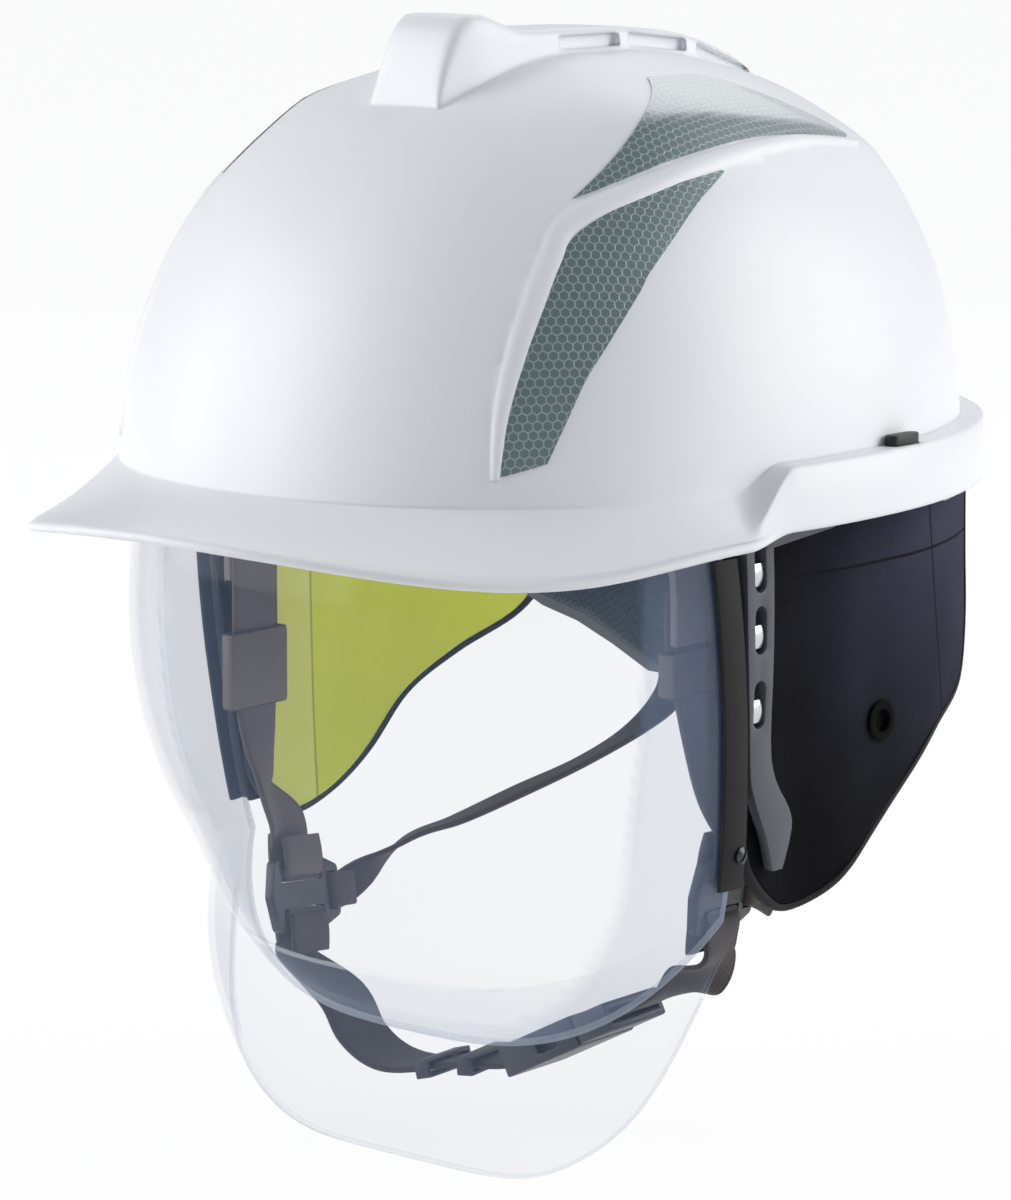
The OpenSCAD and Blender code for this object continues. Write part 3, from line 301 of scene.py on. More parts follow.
def oval(bearing, half, reach, power):
    across = np.abs(np.sin(bearing)) / half
    ahead = np.abs(np.cos(bearing)) / reach
    return (across ** power + ahead ** power) ** (-1 / power)


def plan_reach(bearing, grow):
    reach = np.where(np.cos(bearing) > 0, front_reach, rear_reach) + grow
    return oval(bearing, half_width + grow, reach, plan_power)


def fullness(bearing):
    """How square the dome's upright section is: rounder in front, fuller at the rear."""
    ends = np.where(np.cos(bearing) > 0, front_power, rear_power)
    return side_power + (ends - side_power) * np.cos(bearing) ** 2


def climb_at(bearing, height, grow):
    return np.arcsin((height / (dome_height + grow)) ** (fullness(bearing) / 2))


def shoulder(bearing, climb):
    """How far the soft fold on each shoulder lifts the dome, in millimetres."""
    turn = np.abs(np.angle(np.exp(1j * bearing)))
    off = np.abs(climb - np.interp(turn, fold_bearings, fold_climbs)) / fold_width
    starts = step_between((turn - fold_start) / fold_start_length)
    ends = step_between((turn - fold_end) / fold_end_length)
    along = starts * (1 - ends)
    return fold_lift * along * np.maximum(0, 1 - np.sqrt(off * off + fold_round)) ** 1.3


def dome_points(bearing, climb, grow):
    """Points on the dome, or on a layer that lies on it, by bearing from straight ahead and by climb."""
    power = 2 / fullness(bearing)
    grow = grow + shoulder(bearing, climb)
    out = plan_reach(bearing, grow) * np.maximum(np.cos(climb), 0) ** power
    return np.stack([out * np.sin(bearing), -out * np.cos(bearing),
                     (dome_height + grow) * np.maximum(np.sin(climb), 0) ** power], axis=-1)


def dome_at(x, y):
    bearing = np.arctan2(x, -y)
    m = fullness(bearing)
    return dome_height * np.maximum(0, 1 - (np.hypot(x, y) / plan_reach(bearing, 0)) ** m) ** (1 / m)


def shell_column(degrees):
    """The moulding's outline at one bearing: from the crown down the outside, then up the inside."""
    bearing = np.radians(degrees)
    turn = degrees if degrees <= 180 else 360 - degrees
    band = float(step_between((turn - step_bearing) / step_length + 0.5))
    root = brim_root + (band_height - brim_root) * band
    foot = root - wall - 1 + band
    crown = np.radians(90)
    climb = float(climb_at(bearing, root, 0))
    rises = crown + (climb - crown) * np.linspace(0, 1, 61)[1:]
    outside = dome_points(bearing, rises, 0)
    inner_climb = float(climb_at(bearing, foot, -wall))
    falls = inner_climb + (crown - inner_climb) * np.linspace(0, 1, 25)[:-1]
    inside = dome_points(bearing, falls, -wall - shoulder(bearing, falls))
    start = float(np.hypot(*outside[-1][:2]))
    under = float(np.hypot(*inside[0][:2]))
    brim_reach = brim_front if np.cos(bearing) > 0 else rear_reach + band_depth
    edge = float(oval(bearing, brim_half_width, brim_reach, plan_power))
    arches = [float(np.interp(turn + off, *arch_shape)) for off in arch_smoothing]
    up = brim_arch * sum(arches) / len(arches)

    def brim_at(f):
        return brim_lip + (brim_root - brim_lip) * (1 - f) ** brim_curve

    brim = [(start + (edge - start) * f, brim_at(f) + up * f) for f in np.linspace(0.04, 0.93, 12)]
    brim += [(edge - lip_round + lip_round * math.cos(a), brim_lip / 2 + lip_round * math.sin(a) + up)
             for a in np.radians(np.linspace(80, -80, 7))]
    brim += [(under + (edge - under) * f, brim_at(f) - wall - 0.4 * (1 - f) + up * f)
             for f in (0.9, 0.7, 0.5, 0.3, 0.12)]
    out = float(plan_reach(bearing, band_depth))
    within = out - wall
    ledge = [(start + (out - start) * f, band_height) for f in np.linspace(0.06, 0.8, 7)]
    ledge += [(out - 1 + math.sin(a), band_height - 1 + math.cos(a)) for a in np.radians((20, 45, 70))]
    ledge += [(out + 0.2, band_height * 0.5), (out + 0.4, band_foot + 2)]
    ledge += [(out - 0.6 + math.cos(a), band_foot + 1 + math.sin(a))
              for a in np.radians((10, -25, -60, -90, -90, -90, -90))]
    ledge += [(within + 0.4, band_foot), (within + 0.2, band_foot + 3), (within, band_height - wall - 5),
              (within, band_height - wall), ((within + under) / 2, band_height - wall)]
    middle = np.array(brim) * (1 - band) + np.array(ledge) * band
    heading = np.array([math.sin(bearing), -math.cos(bearing)])
    skirt = np.column_stack([middle[:, :1] * heading, middle[:, 1]])
    return np.vstack([outside, skirt, inside])


white = Finish("shell_white")
peel = white.noise(900, 1.0)
drift = white.noise(9, 3.0)
rub = white.noise(60, 6.0)
white.surface(white.mix(drift, tone(241, 243, 248), tone(247, 248, 251)), 0.42 + 0.10 * (rub ** 2),
              peel, 0.00002, rounded=0.0016, coat_weight=0.15, coat_roughness=0.3)

bearings = np.concatenate([np.linspace(0, 60, 41), np.linspace(60.5, 82, 44), np.linspace(83.5, 180, 65)])
bearings = np.concatenate([bearings, 360 - bearings[-2:0:-1]])
columns = np.array([shell_column(b) for b in bearings])
count, height = columns.shape[:2]
shell_points = np.vstack([[[0, 0, dome_height]], columns.reshape(-1, 3), [[0, 0, dome_height - wall]]])
shell_faces = []
for c in range(count):
    d = (c + 1) % count
    shell_faces.append((0, 1 + c * height, 1 + d * height))
    shell_faces.append((len(shell_points) - 1, d * height + height, c * height + height))
    for r in range(1, height):
        shell_faces.append((c * height + r, c * height + r + 1, d * height + r + 1, d * height + r))
shell_skin = piece("shell_skin", shell_points, shell_faces, white.material)


def turned_out(points, faces):
    """The faces of a closed skin, all turned round if they face inwards."""
    volume = sum(np.dot(points[f[0]], np.cross(points[f[i]], points[f[i + 1]]))
                 for f in faces for i in range(1, len(f) - 1))
    return [tuple(reversed(f)) for f in faces] if volume < 0 else faces


def loft(rings):
    """Points and faces of a closed skin over rings of equal length, with a cap at both ends."""
    rings = np.asarray(rings, dtype=float)
    turns, n = rings.shape[:2]
    faces = [(a * n + i, a * n + (i + 1) % n, (a + 1) * n + (i + 1) % n, (a + 1) * n + i)
             for a in range(turns - 1) for i in range(n)]
    faces += [tuple(range(n - 1, -1, -1)), tuple((turns - 1) * n + i for i in range(n))]
    points = rings.reshape(-1, 3)
    return points, turned_out(points, faces)


def work_shell(name, rings, operation):
    """Joins a solid over rings to the shell, or cuts it out of the shell, and applies the result at once."""
    tool = piece(name, *loft(rings), white.material)
    change = shell_skin.modifiers.new("cut", "BOOLEAN")
    change.operation = operation
    change.solver = "MANIFOLD"
    change.object = tool
    settled = shell_skin.evaluated_get(bpy.context.evaluated_depsgraph_get())
    result = bpy.data.meshes.new_from_object(settled)
    shell_skin.modifiers.clear()
    shell_skin.data = result
    bpy.data.objects.remove(tool)


# The crown ridge, high and round in front and low behind, with a soft foot that runs out on the dome
ridge_front, ridge_rear, ridge_half, ridge_height, ridge_low, ridge_sunk = 57, 100, 14, 18, 6, 2.4
ridge_crest = ((-0.985, 0.2), (-0.955, 0.45), (-0.91, 0.72), (-0.86, 0.92), (-0.81, 0.99), (-0.76, 1),
               (-0.66, 0.9), (-0.56, 0.7), (-0.44, 0.5), (-0.32, 0.41))
ridge_tail = ((-0.16, 1.08), (0, 1.02), (0.22, 1), (0.45, 1), (0.7, 0.9), (0.88, 0.55))
ridge_line = [(-1, 0.3)] + [(y, share * ridge_height) for y, share in ridge_crest]
ridge_line += [(y, share * ridge_low) for y, share in ridge_tail] + [(1, 0.2)]
ridge_places = [y * (ridge_front if y < 0 else ridge_rear) for y, rise in ridge_line]
ridge_rises = [rise for y, rise in ridge_line]
ridge_flank = ((1.5, 0.0), (0.8, 0.05), (0.35, 0.13), (0.1, 0.26), (-0.1, 0.42), (-0.3, 0.6), (-0.6, 0.78),
               (-1.2, 0.91), (-2.4, 0.98), (-4.5, 1.0))


def ridge_section(y):
    """The ridge's outline across the head at one place."""
    rise = float(np.interp(y, ridge_places, ridge_rises))
    half = ridge_half * (0.86 + 0.14 * float(step_between((y + ridge_front) / 20)))
    top = float(dome_at(0.001, y)) + rise
    line = []
    for out, share in ridge_flank:
        x = half + out * min(1.0, 0.35 + rise / 9)
        foot = float(dome_at(x, y)) - 0.25
        line.append((x, foot + max(top - foot, 0.3) * share))
    line.append((half * 0.25, top + 0.1))
    line += [(-x, z) for x, z in reversed(line)]
    wide = half + ridge_flank[0][0]
    low = float(dome_at(wide, y)) - ridge_sunk
    line += [(-wide, low), (wide, low)]
    return [(x, y, z) for x, z in line]


ridge_ys = [np.linspace(-ridge_front, -0.76 * ridge_front, 16),
            np.linspace(-0.74 * ridge_front, ridge_rear, 60)]
work_shell("ridge", [ridge_section(y) for y in np.concatenate(ridge_ys)], "UNION")

# Three shallow pockets down each side of the ridge
pocket_first, pocket_pitch, pocket_length, pocket_depth, pocket_half, pocket_rim = -9, 30, 26, 2.5, 4, 2.4
for side in (-1, 1):
    for i in range(3):
        y = pocket_first + i * pocket_pitch + pocket_length / 2
        slope = math.atan((dome_at(ridge_half, y + 5) - dome_at(ridge_half, y - 5)) / 10)
        tall = float(np.interp(y, ridge_places, ridge_rises)) - pocket_rim
        centre = Vector((side * (ridge_half - pocket_depth + pocket_half), y,
                         float(dome_at(ridge_half, y)) + 1 + tall / 2))
        turn = Matrix.Rotation(slope, 3, "X")
        rings = []
        for along, inset in ((-0.5, 0.35), (-0.46, 0), (0.46, 0), (0.5, 0.35)):
            rings.append([centre + turn @ Vector((a * (pocket_half - inset), along * pocket_length,
                                                  b * (tall / 2 - inset)))
                          for a, b in ((-1, -1), (1, -1), (1, 1), (-1, 1))])
        work_shell("pocket", rings, "DIFFERENCE")

# The accessory slot in each ledge, which the plugs close
slot_place, slot_half, slot_long, slot_deep = (half_width + 1.2, 23), 2.3, 8.5, 1.6
for side in (-1, 1):
    rings = []
    for z in (band_height - slot_deep, band_height + 4):
        rings.append([(side * (slot_place[0] + slot_half * math.cos(a)),
                       slot_place[1] + slot_half * math.sin(a) + math.copysign(slot_long / 2, math.sin(a)), z)
                      for a in np.linspace(0.1, 2 * math.pi + 0.1, 32, endpoint=False)])
    work_shell("slot", rings, "DIFFERENCE")

# The low rib on each shoulder, which runs between the two films
rib_line = np.radians([(34, 8), (34.6, 15), (36.2, 22), (38.4, 28.5), (41, 35), (44.5, 40.5), (57, 44.6),
                       (78, 48.6), (104, 50), (126, 47)])
rib_section = ((-1.1, -1), (-1.1, -0.05), (-0.85, 0.35), (-0.6, 0.75), (-0.2, 0.9),
               (0.2, 0.9), (0.6, 0.75), (0.85, 0.35), (1.1, -0.05), (1.1, -1))


def smooth_path(points, steps):
    """A smooth curve through chosen points, with so many steps for each stretch."""
    points = np.asarray(points, dtype=float)
    made = []
    for i in range(len(points) - 1):
        a, b = points[max(0, i - 1)], points[i]
        c, d = points[i + 1], points[min(len(points) - 1, i + 2)]
        for t in np.arange(steps) / steps:
            made.append(0.5 * (2 * b + (c - a) * t + (2 * a - 5 * b + 4 * c - d) * t * t
                               + (3 * b - a - 3 * c + d) * t ** 3))
    return np.array(made + [points[-1]])


def way_along(path, i):
    """The direction of a path at one of its points, not yet of length 1."""
    return path[min(i + 1, len(path) - 1)] - path[max(i - 1, 0)]


rib_path = smooth_path(rib_line, 9)
for side in (-1, 1):
    rings = []
    for i, q in enumerate(rib_path):
        share = i / (len(rib_path) - 1)
        half = math.radians(1.75 * math.sin(math.pi * min(1, 0.04 + 0.92 * share)) + 0.35)
        way = way_along(rib_path, i)
        across = np.array([way[1], -way[0]]) / np.hypot(*way) * half
        ring = []
        for off, lift in rib_section:
            p = q + across * off
            ring.append(dome_points(p[0], p[1], lift) * (side, 1, 1))
        rings.append(ring)
    work_shell("rib", rings, "UNION")
shell_skin.data.shade_smooth()
shell_skin.data.set_sharp_from_angle(angle=math.radians(38))
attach(shell_skin, "shell")
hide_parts("shell")


# Reflective panels
# Two pieces of retroreflective film on each side, stuck to the dome above and below the shoulder's rib.
# The film has hexagonal cells in grey green, with paler sealed lines between them.
film_lift, film_thick, film_radius, film_fold = 0.12, 0.25, 118, np.radians(1.2)
upper_front = np.radians([(45, 44), (56, 47), (68, 49.5), (87, 51.5), (106, 51), (122, 48.2)])
upper_rear = np.radians([(80, 70.5), (97, 70.5), (109, 69.5), (115, 64), (119.5, 56), (124, 48.7)])
lower_front = np.radians([(34.6, 8.4), (35.4, 15), (37.3, 21), (39.5, 27.5), (42, 34), (45.5, 38.5), (53, 42),
                          (63, 44.6), (76, 46.4)])
lower_rear = np.radians([(40.4, 9.5), (43, 14.2), (45.7, 18.9), (48.4, 22.3), (51.2, 25.7), (54.2, 29.2),
                         (57, 32.5), (67, 40.8), (76.8, 46.2)])
cell_pitch, hexagon = 2.5, 1.732


def hex_cells(u, v, pitch):
    """From 0 in the middle of a hexagonal cell to 1 on the line between cells."""
    def one(shift):
        a = ((u / pitch + shift).maths("FRACT") - 0.5).maths("ABSOLUTE")
        b = (((v / (pitch * hexagon) + shift).maths("FRACT") - 0.5) * hexagon).maths("ABSOLUTE")
        return (a * 0.5 + b * (hexagon / 2)).maths("MAXIMUM", a)
    return one(0.0).maths("MINIMUM", one(0.5)) * 2


film = Finish("reflective_film")
cells = hex_cells(*film.along_and_across(), cell_pitch)
lines = ((cells - 0.80) * 9.0).clamped()
# Above the shoulder's fold the film's cells and lines are painted paler: painted light from the sky above.
above = film.marked("painted_light_above_fold")
painted_reflection_share = film.facing() ** 2.6
lower_cell, painted_lit_cell = tone(112, 130, 131), tone(182, 191, 194)
lower_line, painted_lit_line = tone(158, 172, 171), tone(208, 214, 216)
# Where the film is seen aslant its colour is mixed towards near white: a painted reflection.
cell_tone = film.mix(painted_reflection_share, film.mix(above, lower_cell, painted_lit_cell), tone(236, 238, 241))
line_tone = film.mix(painted_reflection_share, film.mix(above, lower_line, painted_lit_line), tone(240, 242, 244))
speck = film.noise(2500, 0.0)
film.surface(film.mix(lines, cell_tone, line_tone), 0.42 - 0.1 * lines, lines * 0.6 + speck * 0.25, 0.00008,
             metallic=(0.25 + 0.15 * (1 - lines)) * (1 - painted_reflection_share), coat_weight=0.5 * (1 - painted_reflection_share),
             coat_roughness=0.08)


def sheet_faces(rows, columns):
    """Faces of a closed sheet: a front grid, a back grid, and a rim of one extra ring between them."""
    half = rows * columns

    def at(r, c):
        return r * columns + c

    faces = [(at(r, c), at(r, c + 1), at(r + 1, c + 1), at(r + 1, c))
             for r in range(rows - 1) for c in range(columns - 1)]
    faces += [tuple(half + i for i in reversed(f)) for f in list(faces)]
    rim = [at(0, c) for c in range(columns - 1)] + [at(r, columns - 1) for r in range(rows - 1)]
    rim += [at(rows - 1, c) for c in range(columns - 1, 0, -1)] + [at(r, 0) for r in range(rows - 1, 0, -1)]
    n = len(rim)
    for i in range(n):
        a, b, k, m = rim[i], rim[(i + 1) % n], 2 * half + i, 2 * half + (i + 1) % n
        faces += [(b, a, k, m), (m, k, a + half, b + half)]
    return faces, rim


def sheet(face, back, bulge=0.35):
    """Points, faces and rim of a thin closed sheet between two grids of points of the same size."""
    faces, rim = sheet_faces(*face.shape[:2])
    front, rear = face.reshape(-1, 3), back.reshape(-1, 3)
    middle = (front[rim] + rear[rim]) / 2
    ahead = np.roll(middle, -1, axis=0) - np.roll(middle, 1, axis=0)
    through = front[rim] - rear[rim]
    outward = np.cross(ahead, through)
    outward /= np.linalg.norm(outward, axis=1, keepdims=True) + 1e-9
    if np.sum(outward * (middle - middle.mean(axis=0))) < 0:
        outward = -outward
    middle = middle + outward * np.linalg.norm(through, axis=1, keepdims=True) * bulge
    points = np.vstack([front, rear, middle])
    return points, turned_out(points, faces), rim


def sided(points, faces, side):
    """A skin made for the left side, mirrored when it is for the right."""
    return points * (side, 1, 1), faces if side > 0 else [tuple(reversed(f)) for f in faces]


def film_panel(name, first, second, side, node):
    a, b = smooth_path(first, 8), smooth_path(second, 8)
    share = np.linspace(0, 1, 15)[:, None]
    grid = np.array([p + (q - p) * share for p, q in zip(a, b)])
    face = dome_points(grid[..., 0], grid[..., 1], film_lift + film_thick)
    back = dome_points(grid[..., 0], grid[..., 1], film_lift)
    points, faces, rim = sheet(face, back, 0.2)
    middle = face.reshape(-1, 3).mean(axis=0)
    middle /= np.linalg.norm(middle)
    along = np.cross(middle, (0, 0, 1))
    along /= np.linalg.norm(along)
    rise = np.cross(along, middle)
    ways = points / np.linalg.norm(points, axis=1, keepdims=True)
    angle = np.arccos(np.clip(ways @ middle, -1, 1))
    tangent = ways - np.outer(ways @ middle, middle)
    tangent /= np.linalg.norm(tangent, axis=1, keepdims=True) + 1e-9
    flat = np.column_stack([tangent @ along, tangent @ rise]) * angle[:, None] * film_radius
    # The film above the shoulder's fold is marked here, so that its material paints it paler as painted
    # light.
    fold = np.interp(grid[..., 0], fold_bearings, fold_climbs)
    high = step_between((grid[..., 1] - fold) / film_fold + 0.5).ravel()
    made = piece(name, *sided(points, faces, side), film.material, "shell", "reflective_film", [node], flat)
    mark(made, "painted_light_above_fold", np.concatenate([high, high, high[rim]]))


for side, word in ((1, "left"), (-1, "right")):
    film_panel("film_upper_" + word, upper_front, upper_rear, side, "reflector_upper_" + word)
    film_panel("film_lower_" + word, lower_front, lower_rear, side, "reflector_lower_" + word)


# Small hard mouldings
# Plugs for the accessory slots, and the brackets, slide blocks and pins that carry the visor. Their
# solids have their true shape, so they stay, with rounded edges and their own plastic or metal.
def moulded(name, colour, roughness=0.45, depth=0.00003, **plain):
    """Moulded plastic: fine spark texture, a slight drift of colour, and rubbed patches that shine more."""
    finish = Finish(name)
    fine = finish.noise(1400, 2.0)
    drift = finish.noise(35, 4.0)
    darker = tuple(c * 0.88 for c in colour[:3]) + (1,)
    return finish.surface(finish.mix(drift, darker, colour), roughness - 0.1 + 0.2 * drift, fine, depth,
                          **plain)


def turned_steel(name, detail, stretch, colour, roughness, spread, depth):
    """Steel with fine marks along the way in which it was turned or drawn."""
    finish = Finish(name)
    marks = finish.noise(1, detail, stretch=stretch)
    return finish.surface(colour, roughness + spread * marks, marks, depth, metallic=1.0)


def keep_solid(material, edge, *nodes):
    """A solid whose shape is right keeps its mesh, rounded at its edges by a modifier and shaded smooth."""
    for node in nodes:
        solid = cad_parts[node]
        for place in solid.material_slots:
            place.material = material
        solid.data.polygons.foreach_set("use_smooth", [True] * len(solid.data.polygons))
        weld = solid.modifiers.new("weld", "WELD")
        weld.merge_threshold = 0.00001
        rounding = solid.modifiers.new("rounding", "BEVEL")
        rounding.width = edge * MM
        rounding.segments = 2
        rounding.limit_method = "ANGLE"
        rounding.angle_limit = math.radians(40)
        split = solid.modifiers.new("creases", "EDGE_SPLIT")
        split.split_angle = math.radians(42)


def pair(name):
    return name + "_left", name + "_right"


keep_solid(moulded("plug_black", tone(22, 22, 25)), 0.7, *pair("slot_plug"))
keep_solid(moulded("bracket_grey", tone(200, 203, 207)), 0.4, *pair("side_bracket"))
keep_solid(moulded("block_dark", tone(70, 72, 78), 0.3), 0.3, *pair("slide_block"))
pin_steel = turned_steel("pin_steel", 3.0, (4000, 40, 40), tone(196, 198, 202), 0.25, 0.12, 0.00001)
keep_solid(pin_steel, 0.3, *pair("pivot_pin"))


# Visor lens and chin guard
# Clear polycarbonate, moulded 2 mm thick with a very slight blue cast and polished edges, whose brightness is
# a painted highlight on the rim.
# The guard is a second clear piece, fixed outside the lens's foot, and hangs below it.
lens_radius, lens_half, lens_power, lens_wall, lens_top, lens_foot = 118, 95, 3, 2, 4, 16
lens_centre = (7, -27)
lens_edge, lens_slope = -38, 0.1
lens_low_middle, lens_high_end, lens_low_end = math.radians(-62), -3, -104
lens_rows, lens_columns, crease_place, crease_width = 60, 120, 62, 0.7
edge_reach = lens_centre[0] - lens_edge + lens_slope * lens_centre[1]


def clear_plastic(name, body_tone, film_share, gloss_share):
    """Clear plastic: mostly open, with more of the pale reflection the more it is seen aslant."""
    finish = Finish(name)
    aslant = finish.facing()
    painted_crease_reflection = finish.marked("painted_crease_reflection")
    fade = finish.marked("fade")
    smear = finish.noise(14, 3.0)
    # Where the mesh marks painted_crease_reflection the plastic is paler and less clear: a painted
    # reflection.
    cover = (film_share + painted_crease_reflection * 0.2 + gloss_share * (aslant ** 3)) * (1 - fade)
    return finish.surface(body_tone, 0.04 + 0.03 * smear, smear, 0.000004, alpha=cover, ior=1.58,
                          coat_weight=0.3)


def lens_grown(a):
    return lens_radius + lens_foot * step_between((-35 - np.degrees(a)) / 35)


def lens_at(a, v, grow):
    """Points on the lens by their angle below straight ahead and by how far they are to one side."""
    r = (lens_grown(a) + grow) * np.maximum(np.cos(v), 0) ** (2 / lens_power)
    x = (lens_half + grow) * np.sign(v) * np.abs(np.sin(v)) ** (2 / lens_power)
    return np.stack([x, lens_centre[0] - r * np.cos(a), lens_centre[1] + r * np.sin(a)], axis=-1)


def lens_x(y, z):
    """How far out the lens is at one place seen from the side."""
    d = np.array([lens_centre[0] - y, z - lens_centre[1]])
    out = np.hypot(*d) / lens_grown(math.atan2(d[1], d[0]))
    return lens_half * max(0.0, 1 - out ** lens_power) ** (1 / lens_power)


def edge_v(a):
    r = edge_reach / (np.cos(a) - lens_slope * np.sin(a))
    return np.arccos(np.minimum(1, r / lens_grown(a)) ** (lens_power / 2))


def edge_a(z):
    t = (z - lens_centre[1]) / edge_reach
    return math.atan(t / (1 + lens_slope * t))


def paint_rim_highlight(made, first, within):
    """Gives the faces of a clear piece's rim a paler, less clear finish: a painted highlight on its polished
    edge.
    """
    made.data.materials.append(rim_highlight_finish)
    for index, polygon in enumerate(made.data.polygons):
        if index >= first and within(polygon):
            polygon.material_index = 1


# The rim of each clear piece is painted paler and less clear: a painted highlight on its edges.
rim_highlight_finish = clear_plastic("visor_edge_painted_highlight", tone(222, 232, 242), 0.3, 0.2)
even = np.linspace(-1, 1, lens_columns + 1)
lens_s = np.sin(even * math.pi / 2) * 0.35 + even * 0.65
top_a = math.asin((lens_top - lens_centre[1]) / lens_radius)
lens_high = top_a + (edge_a(lens_high_end) - top_a) * np.abs(lens_s) ** 3
lens_low = lens_low_middle + (edge_a(lens_low_end) - lens_low_middle) * np.abs(lens_s) ** 3
lens_a = lens_high + (lens_low - lens_high) * np.linspace(0, 1, lens_rows + 1)[:, None]
lens_v = lens_s * edge_v(lens_a)
lens_points, lens_faces, _ = sheet(lens_at(lens_a, lens_v, 0), lens_at(lens_a, lens_v, -lens_wall))
visor_clear = clear_plastic("visor_clear", tone(140, 164, 204), 0.07, 0.14)
visor = piece("visor_lens_clear", lens_points, lens_faces, visor_clear, "visor", "visor_clear",
              ["visor_lens"], corner=60)
# Past the lens's side fold, and most of all along the fold itself, the lens is marked paler: a painted
# reflection on the fold.
past_fold = lens_points[:, 1] + crease_place - 3 * step_between((-lens_points[:, 2] - 60) / 30)
crease = np.exp(-(past_fold / crease_width) ** 2) * step_between((lens_points[:, 2] + 100) / 30)
mark(visor, "painted_crease_reflection", 0.5 * step_between(past_fold / 1.2) + 0.9 * crease)
paint_rim_highlight(visor, 2 * lens_rows * lens_columns, lambda polygon: True)

guard_corner, guard_drop, guard_bulge, guard_wall, guard_gap = (90, -25, -100), 72, 4, 2, 0.3
guard_rows, guard_columns, edge_foot, guard_fade, fade_length = 32, 160, -120, 128, 24
guard_s = np.linspace(-1, 1, guard_columns + 1)
rim_w = np.radians(90 * (1 - np.abs(guard_s)))
rim_h = np.sin(rim_w) ** 0.4
rim_x = np.sign(guard_s) * guard_corner[0] * (1 - 0.2 * rim_h) * np.maximum(np.cos(rim_w), 0) ** 0.4
guard_rim = np.stack([rim_x, guard_corner[1] - 30 * rim_h,
                      guard_corner[2] - guard_drop * rim_h - 6 * np.sin(rim_w) ** 8], axis=-1)
guard_a = np.radians(-50 - 11 * guard_s ** 2)
guard_top = lens_at(guard_a, guard_s * edge_v(guard_a) * 0.97, guard_gap)
guard_t = np.linspace(0, 1, guard_rows + 1)[:, None, None]
guard_mid = guard_top + (guard_rim - guard_top) * guard_t
guard_out = guard_mid - (0, 10, 0)
guard_out[..., 2] = 0
guard_out /= np.linalg.norm(guard_out, axis=-1, keepdims=True)
guard_mid = guard_mid + guard_out * guard_bulge * 4 * guard_t * (1 - guard_t)
guard_way = (guard_mid - (0, 20, 0)) * (1, 1, 0.25)
guard_way /= np.linalg.norm(guard_way, axis=-1, keepdims=True)
guard_points, guard_faces, _ = sheet(guard_mid + guard_wall * guard_way, guard_mid)
guard_clear = clear_plastic("guard_clear", tone(138, 164, 204), 0.07, 0.16)
guard = piece("chin_guard_clear", guard_points, guard_faces, guard_clear, "visor", "guard_clear",
              ["chin_guard"], corner=60)
mark(guard, "fade", 0.9 * step_between((guard_points[:, 2] + guard_fade) / fade_length))
paint_rim_highlight(guard, 2 * guard_rows * guard_columns,
            lambda polygon: guard_points[list(polygon.vertices), 2].max() < edge_foot)


# Visor sides
# A black channel is pushed over each rear edge of the lens. Behind it stands a grey slotted strip, whose
# arm turns on the pivot pin; steel tongues show in its slots, and a slotted screw holds its foot.
trim_black = moulded("trim_black", tone(11, 10, 15), 0.55, depth=0.00002, specular_ior_level=0.3)
keep_solid(trim_black, 0.35, *pair("edge_trim"))
keep_solid(moulded("frame_grey", tone(80, 80, 92), 0.42), 0.6, *pair("side_frame"))
tongue_steel = turned_steel("rivet_steel", 2.0, (300, 2500, 300), tone(206, 208, 212), 0.18, 0.15, 0.000008)
screw_dark = moulded("screw_dark", tone(74, 76, 82), 0.3, metallic=0.8)


def on_both_sides(name, places, rings_at, finish, nodes=()):
    """One piece of the visor's hardware, with its like at every place on both sides."""
    points, faces = [], []
    for side in (-1, 1):
        for z in places:
            more_points, more_faces = loft(rings_at(z) * (side, 1, 1))
            faces += [tuple(len(points) + i for i in f) for f in more_faces]
            points += list(more_points)
    piece(name, points, faces, finish, "visor", "rivet_steel", nodes)


slot_centre, slot_heights, slot_width, slot_length = -23.5, (-8, -24.5, -44.5), 5, 13
tongue_most, tongue_low = 94.9, 1.6 - slot_length / 2


def tongue_rings(z):
    """A steel tongue in one of the strip's slots: round at its foot, and bowed out a little."""
    outer = min(tongue_most, lens_x(slot_centre, z) + 0.4)
    rings = []
    for rise in np.linspace(tongue_low, 1.2, 9):
        half = slot_width / 2 - 0.55
        if rise < (slot_width - slot_length) / 2:
            past = (rise + (slot_length - slot_width) / 2) / (slot_width / 2)
            half *= math.sqrt(max(0.05, 1 - past ** 2))
        proud = outer - 1.0 + 0.5 * math.sin(min(1, (rise - tongue_low) / 6.1) * math.pi)
        section = ((0.9, -1), (0.9, 1), (0.15, 1), (0, 0.5), (0, -0.5), (0.15, -1))
        rings.append([(proud - sunk, slot_centre + share * half, z + rise) for sunk, share in section])
    return np.array(rings)


on_both_sides("strip_tongues", slot_heights, tongue_rings, tongue_steel)

screw_height, screw_radius, screw_turn, screw_steps = -85, 2.3, 0.6, 48


def screw_rings(z):
    """A screw's domed head, with its slot cut across."""
    y = lens_edge - lens_slope * z
    middle = np.array([lens_x(y, z) + 1.6, y + 2.5, z])
    angles = np.linspace(0, 2 * math.pi, screw_steps, endpoint=False)
    rings = []
    for r in np.linspace(0.25, screw_radius, 11):
        ring = []
        for a in angles:
            cut = 0.5 if abs(r * math.cos(a + screw_turn)) < 0.4 else 0
            ring.append(middle + (1 - (r / 2.6) ** 2 - cut, r * math.cos(a), r * math.sin(a)))
        rings.append(ring)
    rings.append([middle + (-0.2, screw_radius * math.cos(a), screw_radius * math.sin(a)) for a in angles])
    return np.array(rings)


on_both_sides("side_screws", [screw_height], screw_rings, screw_dark, ["frame_rivets"])


